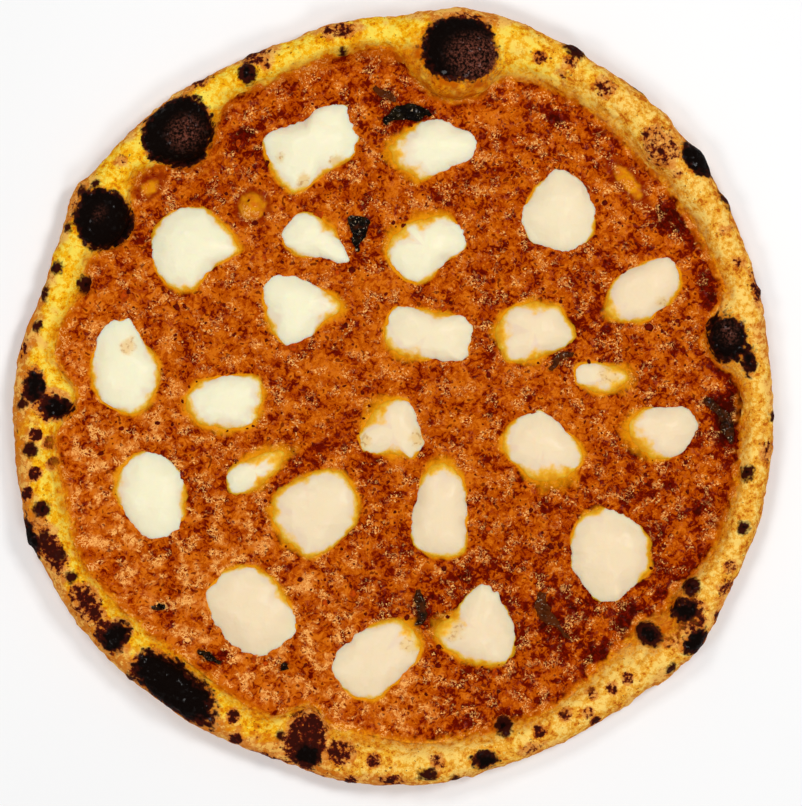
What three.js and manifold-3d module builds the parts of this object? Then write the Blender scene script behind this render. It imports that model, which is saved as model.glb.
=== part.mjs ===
// Vodka sauce pizza, whole and uncut: a thin dough with a raised, blistered rim, a layer of sauce, torn
// mozzarella melted onto the sauce and scraps of burnt basil. Millimetres, +Z up. The pizza rests on its
// flat underside at z = 0, and the middle of its box is the origin in X and Y.
import * as THREE from "three";
import { mergeVertices } from "three/addons/utils/BufferGeometryUtils.js";
import Module from "manifold-3d";

const wasm = await Module();
wasm.setup();

// Driving dimensions
const CRUST_RADIUS = 149.4; // mean reach of the rim
const SAUCE_RADIUS = 132.6; // mean reach of the sauce, a little way up the rim
const BASE_HEIGHT = 3.5; // dough under the sauce
const RIM_HEIGHT = 15; // mean height of the rim's crest
const CREST_INSET = 8; // from the rim's outer edge in to its crest
const EDGE_TUCK = 7; // how far the underside draws in below the rim
const WIDEST_SHARE = 0.45; // height of the rim's widest line, as a share of its crest
const FOOT_RUN = 4.2; // from the flat base out to the sauce's edge
const SAUCE_LEVEL = 6; // top of the sauce on the flat base
const SAUCE_LIP = 0.5; // thickness of the sauce at its edge
const BLISTER_CLEARANCE = 2.2; // how far the sauce stays back from a blister
const BLISTER_SINK = 0.4; // part of a blister's half-width that is sunk in the rim
const UNDERSIDE_SKIN = 1; // dough left under the deepest blister
const LEAF_THICKNESS = 0.8;
const LEAF_RIPPLE = 0.9; // how high a scrap of basil curls off the sauce
const LEAF_WAVES = 1.5; // waves along a scrap of basil
const LEAF_TWIST = 0.3; // part of a wave by which one edge of it lags behind its middle line
const GAP = 0.3; // clearance between pieces that touch

// How finely each form is cut into flat faces
const COLUMNS = 120; // round the dough and the sauce
const BASE_STEPS = 2; // from the middle out over the flat base
const FOOT_STEPS = 2; // from the flat base out to the sauce's edge
const SLOPE_STEPS = 4; // from the sauce's edge up to the crest
const QUARTER_STEPS = 3; // over each quarter round of the rim's outer side
const SAUCE_STEPS = 3; // over the sauce's level top
const BUBBLE_DETAIL = 1;
const LARGE_BUBBLE_DETAIL = 2;
const LARGE_BUBBLE = 7; // half-length above which a bubble is cut more finely
const CHUNK_SIDES = 18;
const LEAF_STEPS = 7;
const LEAF_LANES = 2;

// Where the hand-stretched rim departs from a plain ring: [middle and spread in degrees, millimetres]
const RIM_REACH_SWELLS = [
  [5, 17, -3.2], [52, 9, 3.6], [75, 11, 6.2], [113, 16, -3], [137, 9, -1.4], [161, 8, -4.6],
  [205, 22, 3.2], [250, 5, -1.4], [268, 9, 1.5], [295, 14, -0.8], [320, 6, 3.4],
];
const RIM_HEIGHT_SWELLS = [
  [15, 15, -1], [45, 20, 1.5], [80, 14, 2.5], [140, 15, 1], [168, 10, -2], [205, 25, 1.5], [255, 20, -1.2],
  [300, 20, -1.4],
];
const SAUCE_REACH_SWELLS = [
  [60, 7, 1.8], [97, 7, 4], [161, 4, -4.5], [207, 8, 3.6], [233, 12, -4], [263, 8, -4], [309, 8, -4.2],
  [340, 12, 2],
];

// Blisters on the rim: where they are, half their size along and across the rim, and how far they stand out
const BLISTERS = [
  { degrees: 10.5, radius: 131.5, along: 10, across: 9.5, stand: 3 },
  { degrees: 39, radius: 148.8, along: 6.5, across: 5.5, stand: 3.5 },
  { degrees: 44, radius: 141, along: 9, across: 8, stand: 1.8 },
  { degrees: 63, radius: 150, along: 4.5, across: 4, stand: 1.5 },
  { degrees: 80.5, radius: 137.3, along: 19, across: 18.5, stand: 5.5 },
  { degrees: 99, radius: 143, along: 8, across: 6, stand: 1.5 },
  { degrees: 114.5, radius: 139.5, along: 5, across: 5, stand: 2 },
  { degrees: 129, radius: 135, along: 13.5, across: 13, stand: 4 },
  { degrees: 147.5, radius: 148.2, along: 4.5, across: 4, stand: 1.5 },
  { degrees: 148.5, radius: 135.5, along: 12, across: 11.5, stand: 3.5 },
  { degrees: 179.5, radius: 135.5, along: 9, across: 11, stand: 3 },
  { degrees: 196.8, radius: 144.5, along: 4.5, across: 4, stand: 1.4 },
  { degrees: 200.5, radius: 150.8, along: 7, across: 4.5, stand: 2.5 },
  { degrees: 219.5, radius: 143.5, along: 5.5, across: 5, stand: 1.5 },
  { degrees: 232, radius: 141.5, along: 17, across: 8.5, stand: 2.8 },
  { degrees: 254, radius: 135, along: 8.5, across: 12, stand: 2.8 },
  { degrees: 283.5, radius: 144, along: 4.5, across: 4, stand: 1.6 },
  { degrees: 317.5, radius: 133.5, along: 5, across: 6, stand: 2 },
  { degrees: 321, radius: 148.6, along: 4.5, across: 4.5, stand: 2 },
  { degrees: 325, radius: 137, along: 7.5, across: 5.5, stand: 2 },
  { degrees: 339, radius: 143, along: 6, across: 5, stand: 1.4 },
];

// Bubbles of dough that lift the sauce: middle, half-size along and across, turn and how far it stands up
const SAUCE_BUBBLES = [
  { middle: [-57, 75.5], along: 6, across: 5.5, degrees: 0, stand: 2.2 },
  { middle: [-95.5, 81.5], along: 5, across: 4.5, degrees: 40, stand: 1.4 },
  { middle: [87.5, 82.5], along: 8, across: 2.8, degrees: 43, stand: 1.6 },
];

// Torn mozzarella: how high each chunk stands, then the corners of its outline, counter-clockwise
const MOZZARELLA = [
  [4.6, [-16, 97], [-21, 115], [-31, 115], [-37, 109], [-53, 103], [-51, 92], [-40, 80], [-28, 89]],
  [4.2, [25, 106], [16, 110], [6, 107], [-4, 99], [1, 90], [8, 86], [20, 90], [30, 95], [31, 103]],
  [4.6, [78, 71], [68, 89], [62, 90], [50, 78], [47, 71], [52, 63], [58, 59], [70, 59]],
  [4.8, [-61, 58], [-72, 73], [-78, 76], [-90, 73], [-96, 66], [-96, 53], [-91, 45], [-82, 42], [-70, 53]],
  [3.6, [-19, 54], [-26, 68], [-31, 72], [-39, 73], [-46, 63], [-41, 57], [-30, 55]],
  [4, [27, 60], [20, 72], [11, 72], [2, 68], [-4, 61], [-4, 54], [8, 45], [19, 54]],
  [4, [111, 45], [109, 54], [102, 56], [84, 46], [81, 39], [83, 32], [91, 30], [99, 32]],
  [4.4, [-21, 36], [-25, 41], [-46, 50], [-53, 46], [-53, 38], [-49, 27], [-43, 21], [-36, 23], [-29, 30]],
  [4.4, [29, 24], [28, 32], [16, 34], [-1, 37], [-5, 31], [-5, 22], [2, 17], [14, 16], [26, 15]],
  [3.8, [69, 24], [62, 37], [42, 35], [39, 29], [42, 16], [48, 15], [60, 18]],
  [4.4, [-93, 13], [-99, 22], [-104, 32], [-116, 28], [-120, 9], [-117, 0], [-109, -5], [-100, -5], [-95, 2]],
  [4, [-53, -1], [-54, 8], [-67, 10], [-79, 6], [-83, -1], [-78, -9], [-67, -12], [-57, -10]],
  [2.4, [90, 9], [86, 13], [70, 14], [68, 9], [72, 5], [79, 3], [87, 4]],
  [3.4, [7, -3], [2, 2], [-8, -2], [-13, -9], [-16, -17], [-12, -21], [0, -21], [5, -24], [11, -14], [7, -8]],
  [4.2, [73, -22], [58, -5], [50, -5], [41, -13], [41, -20], [50, -29], [58, -32], [67, -30]],
  [4, [117, -11], [114, -3], [92, -5], [89, -11], [95, -20], [103, -24], [111, -21]],
  [4.6, [-83, -39], [-85, -28], [-99, -20], [-110, -28], [-110, -39], [-98, -54], [-91, -54], [-84, -48]],
  [2.2, [-44, -20], [-50, -20], [-66, -27], [-67, -34], [-61, -37], [-54, -33], [-47, -27]],
  [4.4, [-15, -44], [-20, -30], [-28, -27], [-47, -36], [-50, -42], [-47, -51], [-34, -62], [-18, -50]],
  [4.4, [27, -42], [25, -29], [16, -24], [10, -28], [7, -39], [5, -55], [10, -60], [25, -61]],
  [4.8, [99, -60], [94, -48], [80, -42], [69, -48], [70, -70], [84, -80], [91, -74], [98, -67]],
  [4.4, [-39, -90], [-52, -67], [-60, -64], [-72, -70], [-76, -78], [-59, -100], [-48, -98]],
  [4.2, [10, -97], [5, -88], [-2, -85], [-14, -90], [-25, -100], [-26, -108], [-12, -118], [2, -108]],
  [4, [46, -93], [41, -79], [34, -71], [20, -85], [14, -89], [18, -97], [26, -102], [41, -103]],
];
// A chunk's rings from its top down to its seat: share of the outline's reach, then share of the height
const CHUNK_LEVELS = [[0.58, 0.96], [0.9, 0.68], [1, 0.24], [0.95, 0]];
const CHUNK_LUMP = 0.25; // unevenness of a chunk's top
const CHUNK_LUMP_PITCH = { x: 27, y: 32 }; // distance between lumps

// Scraps of burnt basil: points along the line that each one follows, as [x, y, width there]
const BASIL = [
  [[-5, 107.4, 1.6], [-2.6, 111.6, 4.4], [3, 112, 6.4], [8, 112, 4.8], [13, 111.6, 1.6]],
  [[-9.5, 122, 1.6], [-5, 119.4, 3.6], [-1, 116.6, 2]],
  [[-14.5, 71.4, 9.4], [-15, 66.5, 6.6], [-16.2, 62, 3.6], [-16.6, 57.5, 1.4]],
  [[120.5, 0.5, 1.8], [124, -3, 4], [127.5, -6.5, 4.4], [128.8, -11, 4], [129.6, -16.5, 1.6]],
  [[59.5, 12.5, 1.4], [62, 15, 2.2], [65, 17.4, 2.2], [68.6, 17.2, 1.4]],
  [[55, -75, 2.4], [56.6, -80, 5.6], [57.8, -84.6, 7], [61.5, -87, 2.2], [64.5, -90.5, 1.4], [67, -94, 1.2]],
  [[7.5, -73.5, 2], [8.2, -79, 3.6], [9, -84.5, 3.4], [7.4, -87.4, 1.4]],
  [[-79, -97.6, 1.4], [-75, -98.6, 2.4], [-72, -100.8, 2.6], [-69.5, -103, 1.6]],
  [[-96, -81.6, 1.4], [-93.5, -81, 2.8], [-91, -80, 1.4]],
  [[-46.6, -104.4, 2.2], [-44.5, -104, 4], [-42.4, -103.4, 2.2]],
];

const DOUGH_FINISH = { color: 0xe9ad4b, roughness: 0.75, metalness: 0 };
const SAUCE_FINISH = { color: 0xb75a15, roughness: 0.35, metalness: 0 };
const MOZZARELLA_FINISH = { color: 0xf4e3bf, roughness: 0.4, metalness: 0 };
const BASIL_FINISH = { color: 0x1b140e, roughness: 0.35, metalness: 0 };

// Signed difference of two angles, from -180 to 180
function turnBetween(degrees, middle) {
  return THREE.MathUtils.euclideanModulo(degrees - middle + 180, 360) - 180;
}

// Sum of a list of swells at one angle
function swellAt(swells, degrees) {
  const share = (middle, spread) => Math.exp(-((turnBetween(degrees, middle) / spread) ** 2));
  return swells.reduce((sum, [middle, spread, amount]) => sum + amount * share(middle, spread), 0);
}

function rimReach(degrees) {
  return CRUST_RADIUS + swellAt(RIM_REACH_SWELLS, degrees);
}

function crestHeight(degrees) {
  return RIM_HEIGHT + swellAt(RIM_HEIGHT_SWELLS, degrees);
}

// How near the middle a blister comes along one ray, or no limit where the ray misses it
function blisterFront({ degrees: middle, radius, along, across }, degrees) {
  const sideways = radius * THREE.MathUtils.degToRad(turnBetween(degrees, middle));
  const reach = along + BLISTER_CLEARANCE;
  if (Math.abs(sideways) >= reach) return Infinity;
  return radius - (across + BLISTER_CLEARANCE) * Math.sqrt(1 - (sideways / reach) ** 2);
}

// The sauce's edge, pushed back by the blisters that grew over it
function sauceReach(degrees) {
  const open = SAUCE_RADIUS + swellAt(SAUCE_REACH_SWELLS, degrees);
  return Math.min(open, ...BLISTERS.map((blister) => blisterFront(blister, degrees)));
}

// Top of the dough: flat base, hollow slope up to the crest, then a quarter round out to the widest line
function crustHeight(radius, degrees) {
  const foot = sauceReach(degrees) - FOOT_RUN;
  const crest = rimReach(degrees) - CREST_INSET;
  const top = crestHeight(degrees);
  if (radius <= foot) return BASE_HEIGHT;
  if (radius <= crest) {
    const climb = (1 - Math.cos((Math.PI * (radius - foot)) / (crest - foot))) / 2;
    return BASE_HEIGHT + (top - BASE_HEIGHT) * climb;
  }
  const out = Math.min((radius - crest) / CREST_INSET, 1);
  return top * (WIDEST_SHARE + (1 - WIDEST_SHARE) * Math.sqrt(1 - out * out));
}

// Top of the sauce: level on the base, then drawn up or down to a thin lip on the rim's slope
function sauceHeight(radius, degrees) {
  const edge = sauceReach(degrees);
  const lip = crustHeight(edge, degrees) + GAP + SAUCE_LIP;
  const share = THREE.MathUtils.clamp((radius - edge + FOOT_RUN) / FOOT_RUN, 0, 1);
  return THREE.MathUtils.lerp(SAUCE_LEVEL, lip, share);
}

// What a topping at (x, y) lies on
function bedHeight(x, y) {
  const radius = Math.hypot(x, y);
  const degrees = THREE.MathUtils.radToDeg(Math.atan2(y, x));
  return Math.max(sauceHeight(radius, degrees), crustHeight(radius, degrees));
}

function polarPoint(radius, degrees, height) {
  const radians = THREE.MathUtils.degToRad(degrees);
  return [radius * Math.cos(radians), radius * Math.sin(radians), height];
}

function meshData(points, faces) {
  const geometry = new THREE.BufferGeometry();
  geometry.setAttribute("position", new THREE.Float32BufferAttribute(points.flat(), 3));
  geometry.setIndex(faces);
  geometry.computeVertexNormals();
  return geometry;
}

// A closed skin over rings that run from a top point outwards, round the edge and in below to a bottom
// point. Strips that run in are cut along the same diagonals as strips that run out, so that stacked layers
// stay parallel.
function ringSkin(topPoint, rings, bottomPoint) {
  const sides = rings[0].length;
  const points = [topPoint, ...rings.flat(), bottomPoint];
  const at = (ring, side) => 1 + ring * sides + (side % sides);
  const faces = [];
  for (let side = 0; side < sides; side += 1) {
    faces.push(0, at(0, side), at(0, side + 1));
    for (let ring = 0; ring + 1 < rings.length; ring += 1) {
      const [a, b, c, d] = [at(ring, side), at(ring + 1, side), at(ring + 1, side + 1), at(ring, side + 1)];
      const outwards = Math.hypot(points[a][0], points[a][1]) < Math.hypot(points[b][0], points[b][1]);
      if (outwards) faces.push(a, b, c, a, c, d);
      else faces.push(a, b, d, b, c, d);
    }
    faces.push(points.length - 1, at(rings.length - 1, side + 1), at(rings.length - 1, side));
  }
  return meshData(points, faces);
}

// Evenly spaced values from just past the start up to and including the end
function evenly(start, end, count) {
  return Array.from({ length: count }, (_, step) => start + ((end - start) * (step + 1)) / count);
}

// Radii at which the dough under the sauce is cut, from its middle out to the sauce's edge
function baseRadii(degrees) {
  const edge = sauceReach(degrees);
  const foot = edge - FOOT_RUN;
  return [...evenly(0, foot, BASE_STEPS), ...evenly(foot, edge, FOOT_STEPS)];
}

// Rings for a form whose section changes round the pizza: section(degrees) lists [radius, height] pairs
function sectionRings(section) {
  const columns = Array.from({ length: COLUMNS }, (_, column) => (360 * column) / COLUMNS);
  const sections = columns.map((degrees) => section(degrees));
  return sections[0].map((_, ring) =>
    columns.map((degrees, column) => {
      const [radius, height] = sections[column][ring];
      return polarPoint(radius, degrees, height);
    }),
  );
}

function solidOf(geometry) {
  const bare = geometry.clone();
  bare.deleteAttribute("normal");
  bare.deleteAttribute("uv");
  const merged = mergeVertices(bare);
  const vertProperties = new Float32Array(merged.attributes.position.array);
  const triVerts = new Uint32Array(merged.index.array);
  return new wasm.Manifold(new wasm.Mesh({ numProp: 3, vertProperties, triVerts }));
}

function geometryOf(solid) {
  const mesh = solid.getMesh();
  const geometry = new THREE.BufferGeometry();
  geometry.setAttribute("position", new THREE.BufferAttribute(mesh.vertProperties, 3));
  geometry.setIndex(new THREE.BufferAttribute(mesh.triVerts, 1));
  geometry.computeVertexNormals();
  return geometry;
}

// A half-sunk egg shape at [x, y] that stands out of a layer whose faces are at floor and ceiling height
function bubble([x, y], [floor, ceiling], { along, across, stand, degrees }, detail) {
  const sink = Math.min(BLISTER_SINK * Math.min(along, across), (ceiling - floor) / 2);
  const egg = new THREE.IcosahedronGeometry(1, detail);
  const position = egg.getAttribute("position");
  const depth = Math.min(stand + sink, ceiling - sink - floor);
  for (let index = 0; index < position.count; index += 1) {
    const height = position.getZ(index);
    position.setZ(index, height * (height > 0 ? stand + sink : depth));
  }
  egg.scale(across, along, 1);
  egg.rotateZ(THREE.MathUtils.degToRad(degrees));
  egg.translate(x, y, ceiling - sink);
  return solidOf(egg);
}

function doughGeometry() {
  const section = (degrees) => {
    const reach = rimReach(degrees);
    const crest = reach - CREST_INSET;
    const widest = WIDEST_SHARE * crestHeight(degrees);
    const slope = evenly(sauceReach(degrees), crest, SLOPE_STEPS);
    const quarter = evenly(0, Math.PI / 2, QUARTER_STEPS);
    const shoulder = quarter.map((turn) => crest + CREST_INSET * Math.sin(turn));
    const belly = quarter.map((turn) => [
      reach - EDGE_TUCK * (1 - Math.cos(turn)),
      widest * (1 - Math.sin(turn)),
    ]);
    const radii = [...baseRadii(degrees), ...slope, ...shoulder];
    const top = radii.map((radius) => [radius, crustHeight(radius, degrees)]);
    return [...top, ...belly, [(reach - EDGE_TUCK) / 2, 0]];
  };
  let dough = solidOf(ringSkin([0, 0, BASE_HEIGHT], sectionRings(section), [0, 0, 0]));
  for (const blister of BLISTERS) {
    const { degrees, radius, along } = blister;
    const [x, y] = polarPoint(radius, degrees, 0);
    const layer = [UNDERSIDE_SKIN, crustHeight(radius, degrees)];
    const detail = along > LARGE_BUBBLE ? LARGE_BUBBLE_DETAIL : BUBBLE_DETAIL;
    dough = dough.add(bubble([x, y], layer, blister, detail));
  }
  return geometryOf(dough);
}

function sauceGeometry() {
  const section = (degrees) => {
    const edge = sauceReach(degrees);
    const foot = edge - FOOT_RUN;
    const top = [...evenly(0, foot, SAUCE_STEPS), edge];
    const under = baseRadii(degrees).reverse();
    return [
      ...top.map((radius) => [radius, sauceHeight(radius, degrees)]),
      ...under.map((radius) => [radius, crustHeight(radius, degrees) + GAP]),
    ];
  };
  const rings = sectionRings(section);
  let sauce = solidOf(ringSkin([0, 0, SAUCE_LEVEL], rings, [0, 0, BASE_HEIGHT + GAP]));
  for (const lift of SAUCE_BUBBLES) {
    const layer = [BASE_HEIGHT + 2 * GAP, SAUCE_LEVEL];
    sauce = sauce.add(bubble(lift.middle, layer, lift, BUBBLE_DETAIL));
  }
  return geometryOf(sauce);
}

// A chunk with a flat seat on the sauce, a rounded melted edge and a low uneven top
function chunkGeometry([height, ...corners]) {
  const outline = new THREE.CatmullRomCurve3(
    corners.map(([x, y]) => new THREE.Vector3(x, y, 0)),
    true,
  );
  const edge = outline.getSpacedPoints(CHUNK_SIDES).slice(0, CHUNK_SIDES);
  const middle = edge.reduce((sum, point) => sum.add(point), new THREE.Vector3()).divideScalar(CHUNK_SIDES);
  const seat = SAUCE_LEVEL + GAP;
  const wave = (place, pitch) => Math.sin((2 * Math.PI * place) / pitch);
  const rings = CHUNK_LEVELS.map(([spread, rise]) =>
    edge.map((point) => {
      const x = THREE.MathUtils.lerp(middle.x, point.x, spread);
      const y = THREE.MathUtils.lerp(middle.y, point.y, spread);
      const lump = CHUNK_LUMP * wave(x, CHUNK_LUMP_PITCH.x) * wave(y, CHUNK_LUMP_PITCH.y);
      return [x, y, seat + rise * (height + lump)];
    }),
  );
  return ringSkin([middle.x, middle.y, seat + height], rings, [middle.x, middle.y, seat]);
}

// A thin wavy strip along a line of points, its upper and lower faces split alike
function leafGeometry(points) {
  const line = new THREE.CatmullRomCurve3(points.map(([x, y]) => new THREE.Vector3(x, y, 0)));
  const widths = points.map(([, , width]) => width);
  const lanes = LEAF_LANES + 1;
  const lower = [];
  for (let step = 0; step <= LEAF_STEPS; step += 1) {
    const share = step / LEAF_STEPS;
    const middle = line.getPoint(share);
    const ahead = line.getTangent(share);
    const place = share * (widths.length - 1);
    const before = Math.min(Math.floor(place), widths.length - 2);
    const width = THREE.MathUtils.lerp(widths[before], widths[before + 1], place - before);
    for (let lane = 0; lane < lanes; lane += 1) {
      const offset = (lane / LEAF_LANES - 0.5) * width;
      const x = middle.x - ahead.y * offset;
      const y = middle.y + ahead.x * offset;
      const phase = 2 * Math.PI * (LEAF_WAVES * share + LEAF_TWIST * lane);
      const ripple = (LEAF_RIPPLE * (1 - Math.cos(phase))) / 2;
      lower.push([x, y, bedHeight(x, y) + GAP + ripple]);
    }
  }
  const upper = lower.map(([x, y, z]) => [x, y, z + LEAF_THICKNESS]);
  const under = (step, lane) => step * lanes + lane;
  const over = (step, lane) => lower.length + under(step, lane);
  const faces = [];
  const quad = (a, b, c, d) => faces.push(a, b, c, a, c, d);
  for (let step = 0; step < LEAF_STEPS; step += 1) {
    for (let lane = 0; lane < LEAF_LANES; lane += 1) {
      const [a, b, c, d] = [[step, lane], [step + 1, lane], [step + 1, lane + 1], [step, lane + 1]];
      quad(over(...a), over(...b), over(...c), over(...d));
      faces.push(under(...a), under(...c), under(...b), under(...a), under(...d), under(...c));
    }
    quad(under(step, 0), under(step + 1, 0), over(step + 1, 0), over(step, 0));
    const left = LEAF_LANES;
    quad(under(step + 1, left), under(step, left), over(step, left), over(step + 1, left));
  }
  for (let lane = 0; lane < LEAF_LANES; lane += 1) {
    const end = LEAF_STEPS;
    quad(under(0, lane + 1), under(0, lane), over(0, lane), over(0, lane + 1));
    quad(under(end, lane), under(end, lane + 1), over(end, lane + 1), over(end, lane));
  }
  return meshData([...lower, ...upper], faces);
}

function addPiece(group, name, geometry, finish) {
  const piece = new THREE.Mesh(geometry, new THREE.MeshStandardMaterial(finish));
  piece.name = name;
  group.add(piece);
}

function numbered(name, index) {
  return `${name}_${String(index + 1).padStart(2, "0")}`;
}

const pizza = new THREE.Group();
addPiece(pizza, "dough", doughGeometry(), DOUGH_FINISH);
addPiece(pizza, "vodka_sauce", sauceGeometry(), SAUCE_FINISH);
MOZZARELLA.forEach((chunk, index) =>
  addPiece(pizza, numbered("mozzarella", index), chunkGeometry(chunk), MOZZARELLA_FINISH),
);
BASIL.forEach((scrap, index) =>
  addPiece(pizza, numbered("basil", index), leafGeometry(scrap), BASIL_FINISH),
);

// The readings above are about the middle of the sauce, and the finished part is centred on its own box
const boxMiddle = new THREE.Box3().setFromObject(pizza).getCenter(new THREE.Vector3());
pizza.position.set(-boxMiddle.x, -boxMiddle.y, 0);

export default pizza;
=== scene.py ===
import math

import bpy
import numpy as np
from bpy.props import FloatProperty, FloatVectorProperty, IntProperty, PointerProperty
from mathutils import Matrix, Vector
from mathutils.bvhtree import BVHTree


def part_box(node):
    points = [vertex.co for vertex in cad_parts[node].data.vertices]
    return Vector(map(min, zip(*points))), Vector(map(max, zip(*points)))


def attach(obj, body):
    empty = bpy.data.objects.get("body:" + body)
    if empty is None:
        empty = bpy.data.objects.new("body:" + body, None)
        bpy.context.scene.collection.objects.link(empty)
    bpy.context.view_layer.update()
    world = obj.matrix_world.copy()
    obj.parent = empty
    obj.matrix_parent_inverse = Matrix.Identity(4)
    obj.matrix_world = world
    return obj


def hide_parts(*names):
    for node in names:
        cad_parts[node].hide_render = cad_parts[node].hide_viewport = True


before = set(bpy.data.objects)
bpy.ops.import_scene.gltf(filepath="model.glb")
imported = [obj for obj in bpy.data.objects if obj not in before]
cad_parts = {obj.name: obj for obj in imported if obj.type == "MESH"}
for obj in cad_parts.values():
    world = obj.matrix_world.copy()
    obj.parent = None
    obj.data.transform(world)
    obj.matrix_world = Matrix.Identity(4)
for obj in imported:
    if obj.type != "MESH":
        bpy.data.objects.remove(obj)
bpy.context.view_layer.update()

bl_info = {
    "name": "Vodka Sauce Pizza",
    "version": (1, 0, 0),
    "blender": (4, 5, 0),
    "location": "View3D > Sidebar > Pizza",
    "description": "Dresses a baked pizza's solids: blistered crust, sauce, mozzarella and basil",
    "category": "Add Mesh",
}

TAU = 2 * math.pi
MM = 0.001
# A height above the pizza and a distance past its rim, in metres, that rays start from
ABOVE = 0.05
BEYOND = 0.2
# Depth in mm of a place that no spot is near
OUTSIDE = -12.0
# Large numbers that scatter the bits of whole numbers, and the bits that are kept
CELL_FACTORS = (73856093, 19349663, 83492791)
KIND_FACTOR = 374761393
SEED_FACTOR = 668265263
LAST_FACTOR = 1274126177
LOW_BITS = 0xFFFF

# How far past the rim's crest its spots go on, in mm
SPOTS_END = 13
# Charred blisters on the rim, read from above: degrees, radius, half-length along and across in mm
CHAR = (
    (80, 138.3, 14.8, 12.4), (129.2, 134.2, 13.8, 12.6), (148.5, 134.4, 11.3, 10.8), (11, 130.2, 9, 7.4),
    (6.8, 137, 5, 2), (177.5, 141.2, 5.6, 4.4), (181.5, 131.8, 4, 5), (232.3, 141.6, 19, 8.4),
    (255.4, 142, 5.6, 5), (219.9, 143.2, 6, 5.2), (200.5, 152.9, 7, 3), (38.9, 149.6, 7, 4.8),
    (323.5, 138, 4.2, 4.6), (321.2, 148.4, 4.6, 3.6), (283.5, 144.3, 5, 3.4),
)
# Small dark blisters that stand a little proud of the rim, read the same way
SMALL_CHAR = (
    (63.2, 151.2, 4.6, 2.4), (52, 153.6, 3.6, 1.4), (31.2, 148.6, 4, 1.5), (114.7, 139.4, 3.8, 3.9),
    (113.4, 146.8, 2.8, 1.8), (159.8, 130.4, 3.6, 3), (158.8, 141.5, 2.7, 2.4), (163.1, 142.9, 3.4, 1.7),
    (168.4, 142.3, 2.3, 1.8), (147.2, 150.5, 3.6, 2), (146.6, 146.2, 2.2, 1.7), (152.3, 144.6, 2, 1.8),
    (144.5, 143.5, 1.7, 1.6), (187.7, 143.4, 3, 2.8), (180.5, 145.5, 2.6, 2), (197, 144.2, 3.2, 3),
    (201.2, 146.8, 2.6, 2.2), (204.6, 144, 2.2, 2.4), (208.5, 143.9, 2.4, 2.2), (250.7, 137.8, 1.8, 1.7),
    (226, 149, 2, 1.7), (274.5, 145, 4, 2.2), (278.6, 148, 2.2, 1.4), (315.5, 148.2, 2.3, 1.8),
    (348.2, 138.6, 3.2, 2.4), (357.5, 145.5, 2, 1.6), (99, 137.6, 1.7, 1.5), (16.7, 147.4, 1.5, 1.2),
    (327.5, 135.7, 3.8, 3.2), (317, 134, 4.4, 5.4), (288, 133.6, 3.6, 3.9), (339.8, 142.7, 3, 2.4),
)
# Ashen brown middles of the char, where brown grains are mixed with painted highlights
ASH = ((77, 135.5, 14, 11), (128.5, 132, 9, 8), (148, 136, 4, 3), (11.5, 131, 6, 5))
# Brown leopard patches on the rim
BROWNED = (
    (44, 141.2, 9.8, 7), (99.2, 144.6, 8.5, 4), (111.6, 139.5, 3.5, 2.6), (56.3, 145, 5.5, 4.6),
    (213.5, 143.9, 9, 4.5), (260.5, 138.5, 6.5, 5), (254.8, 137, 9, 12), (27.5, 142, 1.8, 5),
    (203, 146, 12, 4), (22, 142.7, 2.5, 3), (39, 138.5, 3, 3), (63, 146.4, 3, 3), (63, 140.8, 3, 2.5),
    (139, 141.2, 3.5, 3), (80, 150.5, 10, 7), (172, 146.3, 3, 2), (134.5, 148.2, 5, 2), (253, 149, 12, 3),
    (322, 140, 13, 9), (112, 144, 8, 5), (148.5, 148.5, 9, 3), (219.5, 143.5, 7, 5.6), (181, 134, 6, 7),
    (17, 146, 8, 3), (269, 147, 5, 3), (276, 141, 4, 3), (291, 145, 5, 3), (330, 146, 6, 3),
    (352, 144, 5, 3), (122, 146, 7, 3),
)
# Brown freckles that stand alone on the rim: degrees and radius in mm, all of one half-width
FRECKLE_HALF = 2.8
FRECKLES = tuple((degrees, radius, FRECKLE_HALF, FRECKLE_HALF) for degrees, radius in (
    (185.5, 141.2), (187, 136.5), (190.5, 136.5), (191.5, 143.5), (194, 148.2), (242.5, 138.5),
    (244.5, 145.9), (263, 149.4), (266, 140.4), (293, 139.6), (298, 138.5), (301.2, 142), (303.5, 136.5),
    (306.5, 139.2), (309.5, 140), (301.5, 147), (333.5, 143.9), (326, 150.5), (67.5, 143.5),
))
# Where a blister's foot is soaked with sauce, and the most it counts in mm
SOAKED = (
    (82.5, 127, 21, 14), (10.5, 125, 12, 7), (129, 122, 13, 5), (148.5, 124, 11, 4), (320, 132, 15, 8),
)
SOAKED_MOST = 2.5
# Dark red-brown stains where the sauce has cooked down against the rim
STAINS = (
    (357, 128.5, 12, 5), (341, 125.5, 7, 3), (33, 127, 8, 5), (20, 128, 8, 3.5), (308, 126.5, 7, 4.5),
    (317, 122.5, 8, 4), (120, 120, 8, 3), (62, 126, 6, 2.5),
)
# Bubbles in the sauce and in the dough under it: place, half-length and half-width in mm, turn in degrees
BUBBLES = ((-57, 75.5, 5.6, 5.6, 0), (-97, 83, 4.2, 2.6, 40), (90, 85, 8, 3, -50))
# Clear or yellowed places in the mozzarella: place and radius in mm
CLEAR = tuple((x, y, radius, radius, 0) for x, y, radius in (
    (103, 38, 2), (-105, 21, 3), (-14, -17, 3), (8, -15, 3), (5, -95, 4), (21, -89.5, 4.2),
    (-23.5, 93, 2.6), (-37, 85, 2.8), (-46, 94.5, 1.3), (82.5, 9, 4),
))
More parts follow.
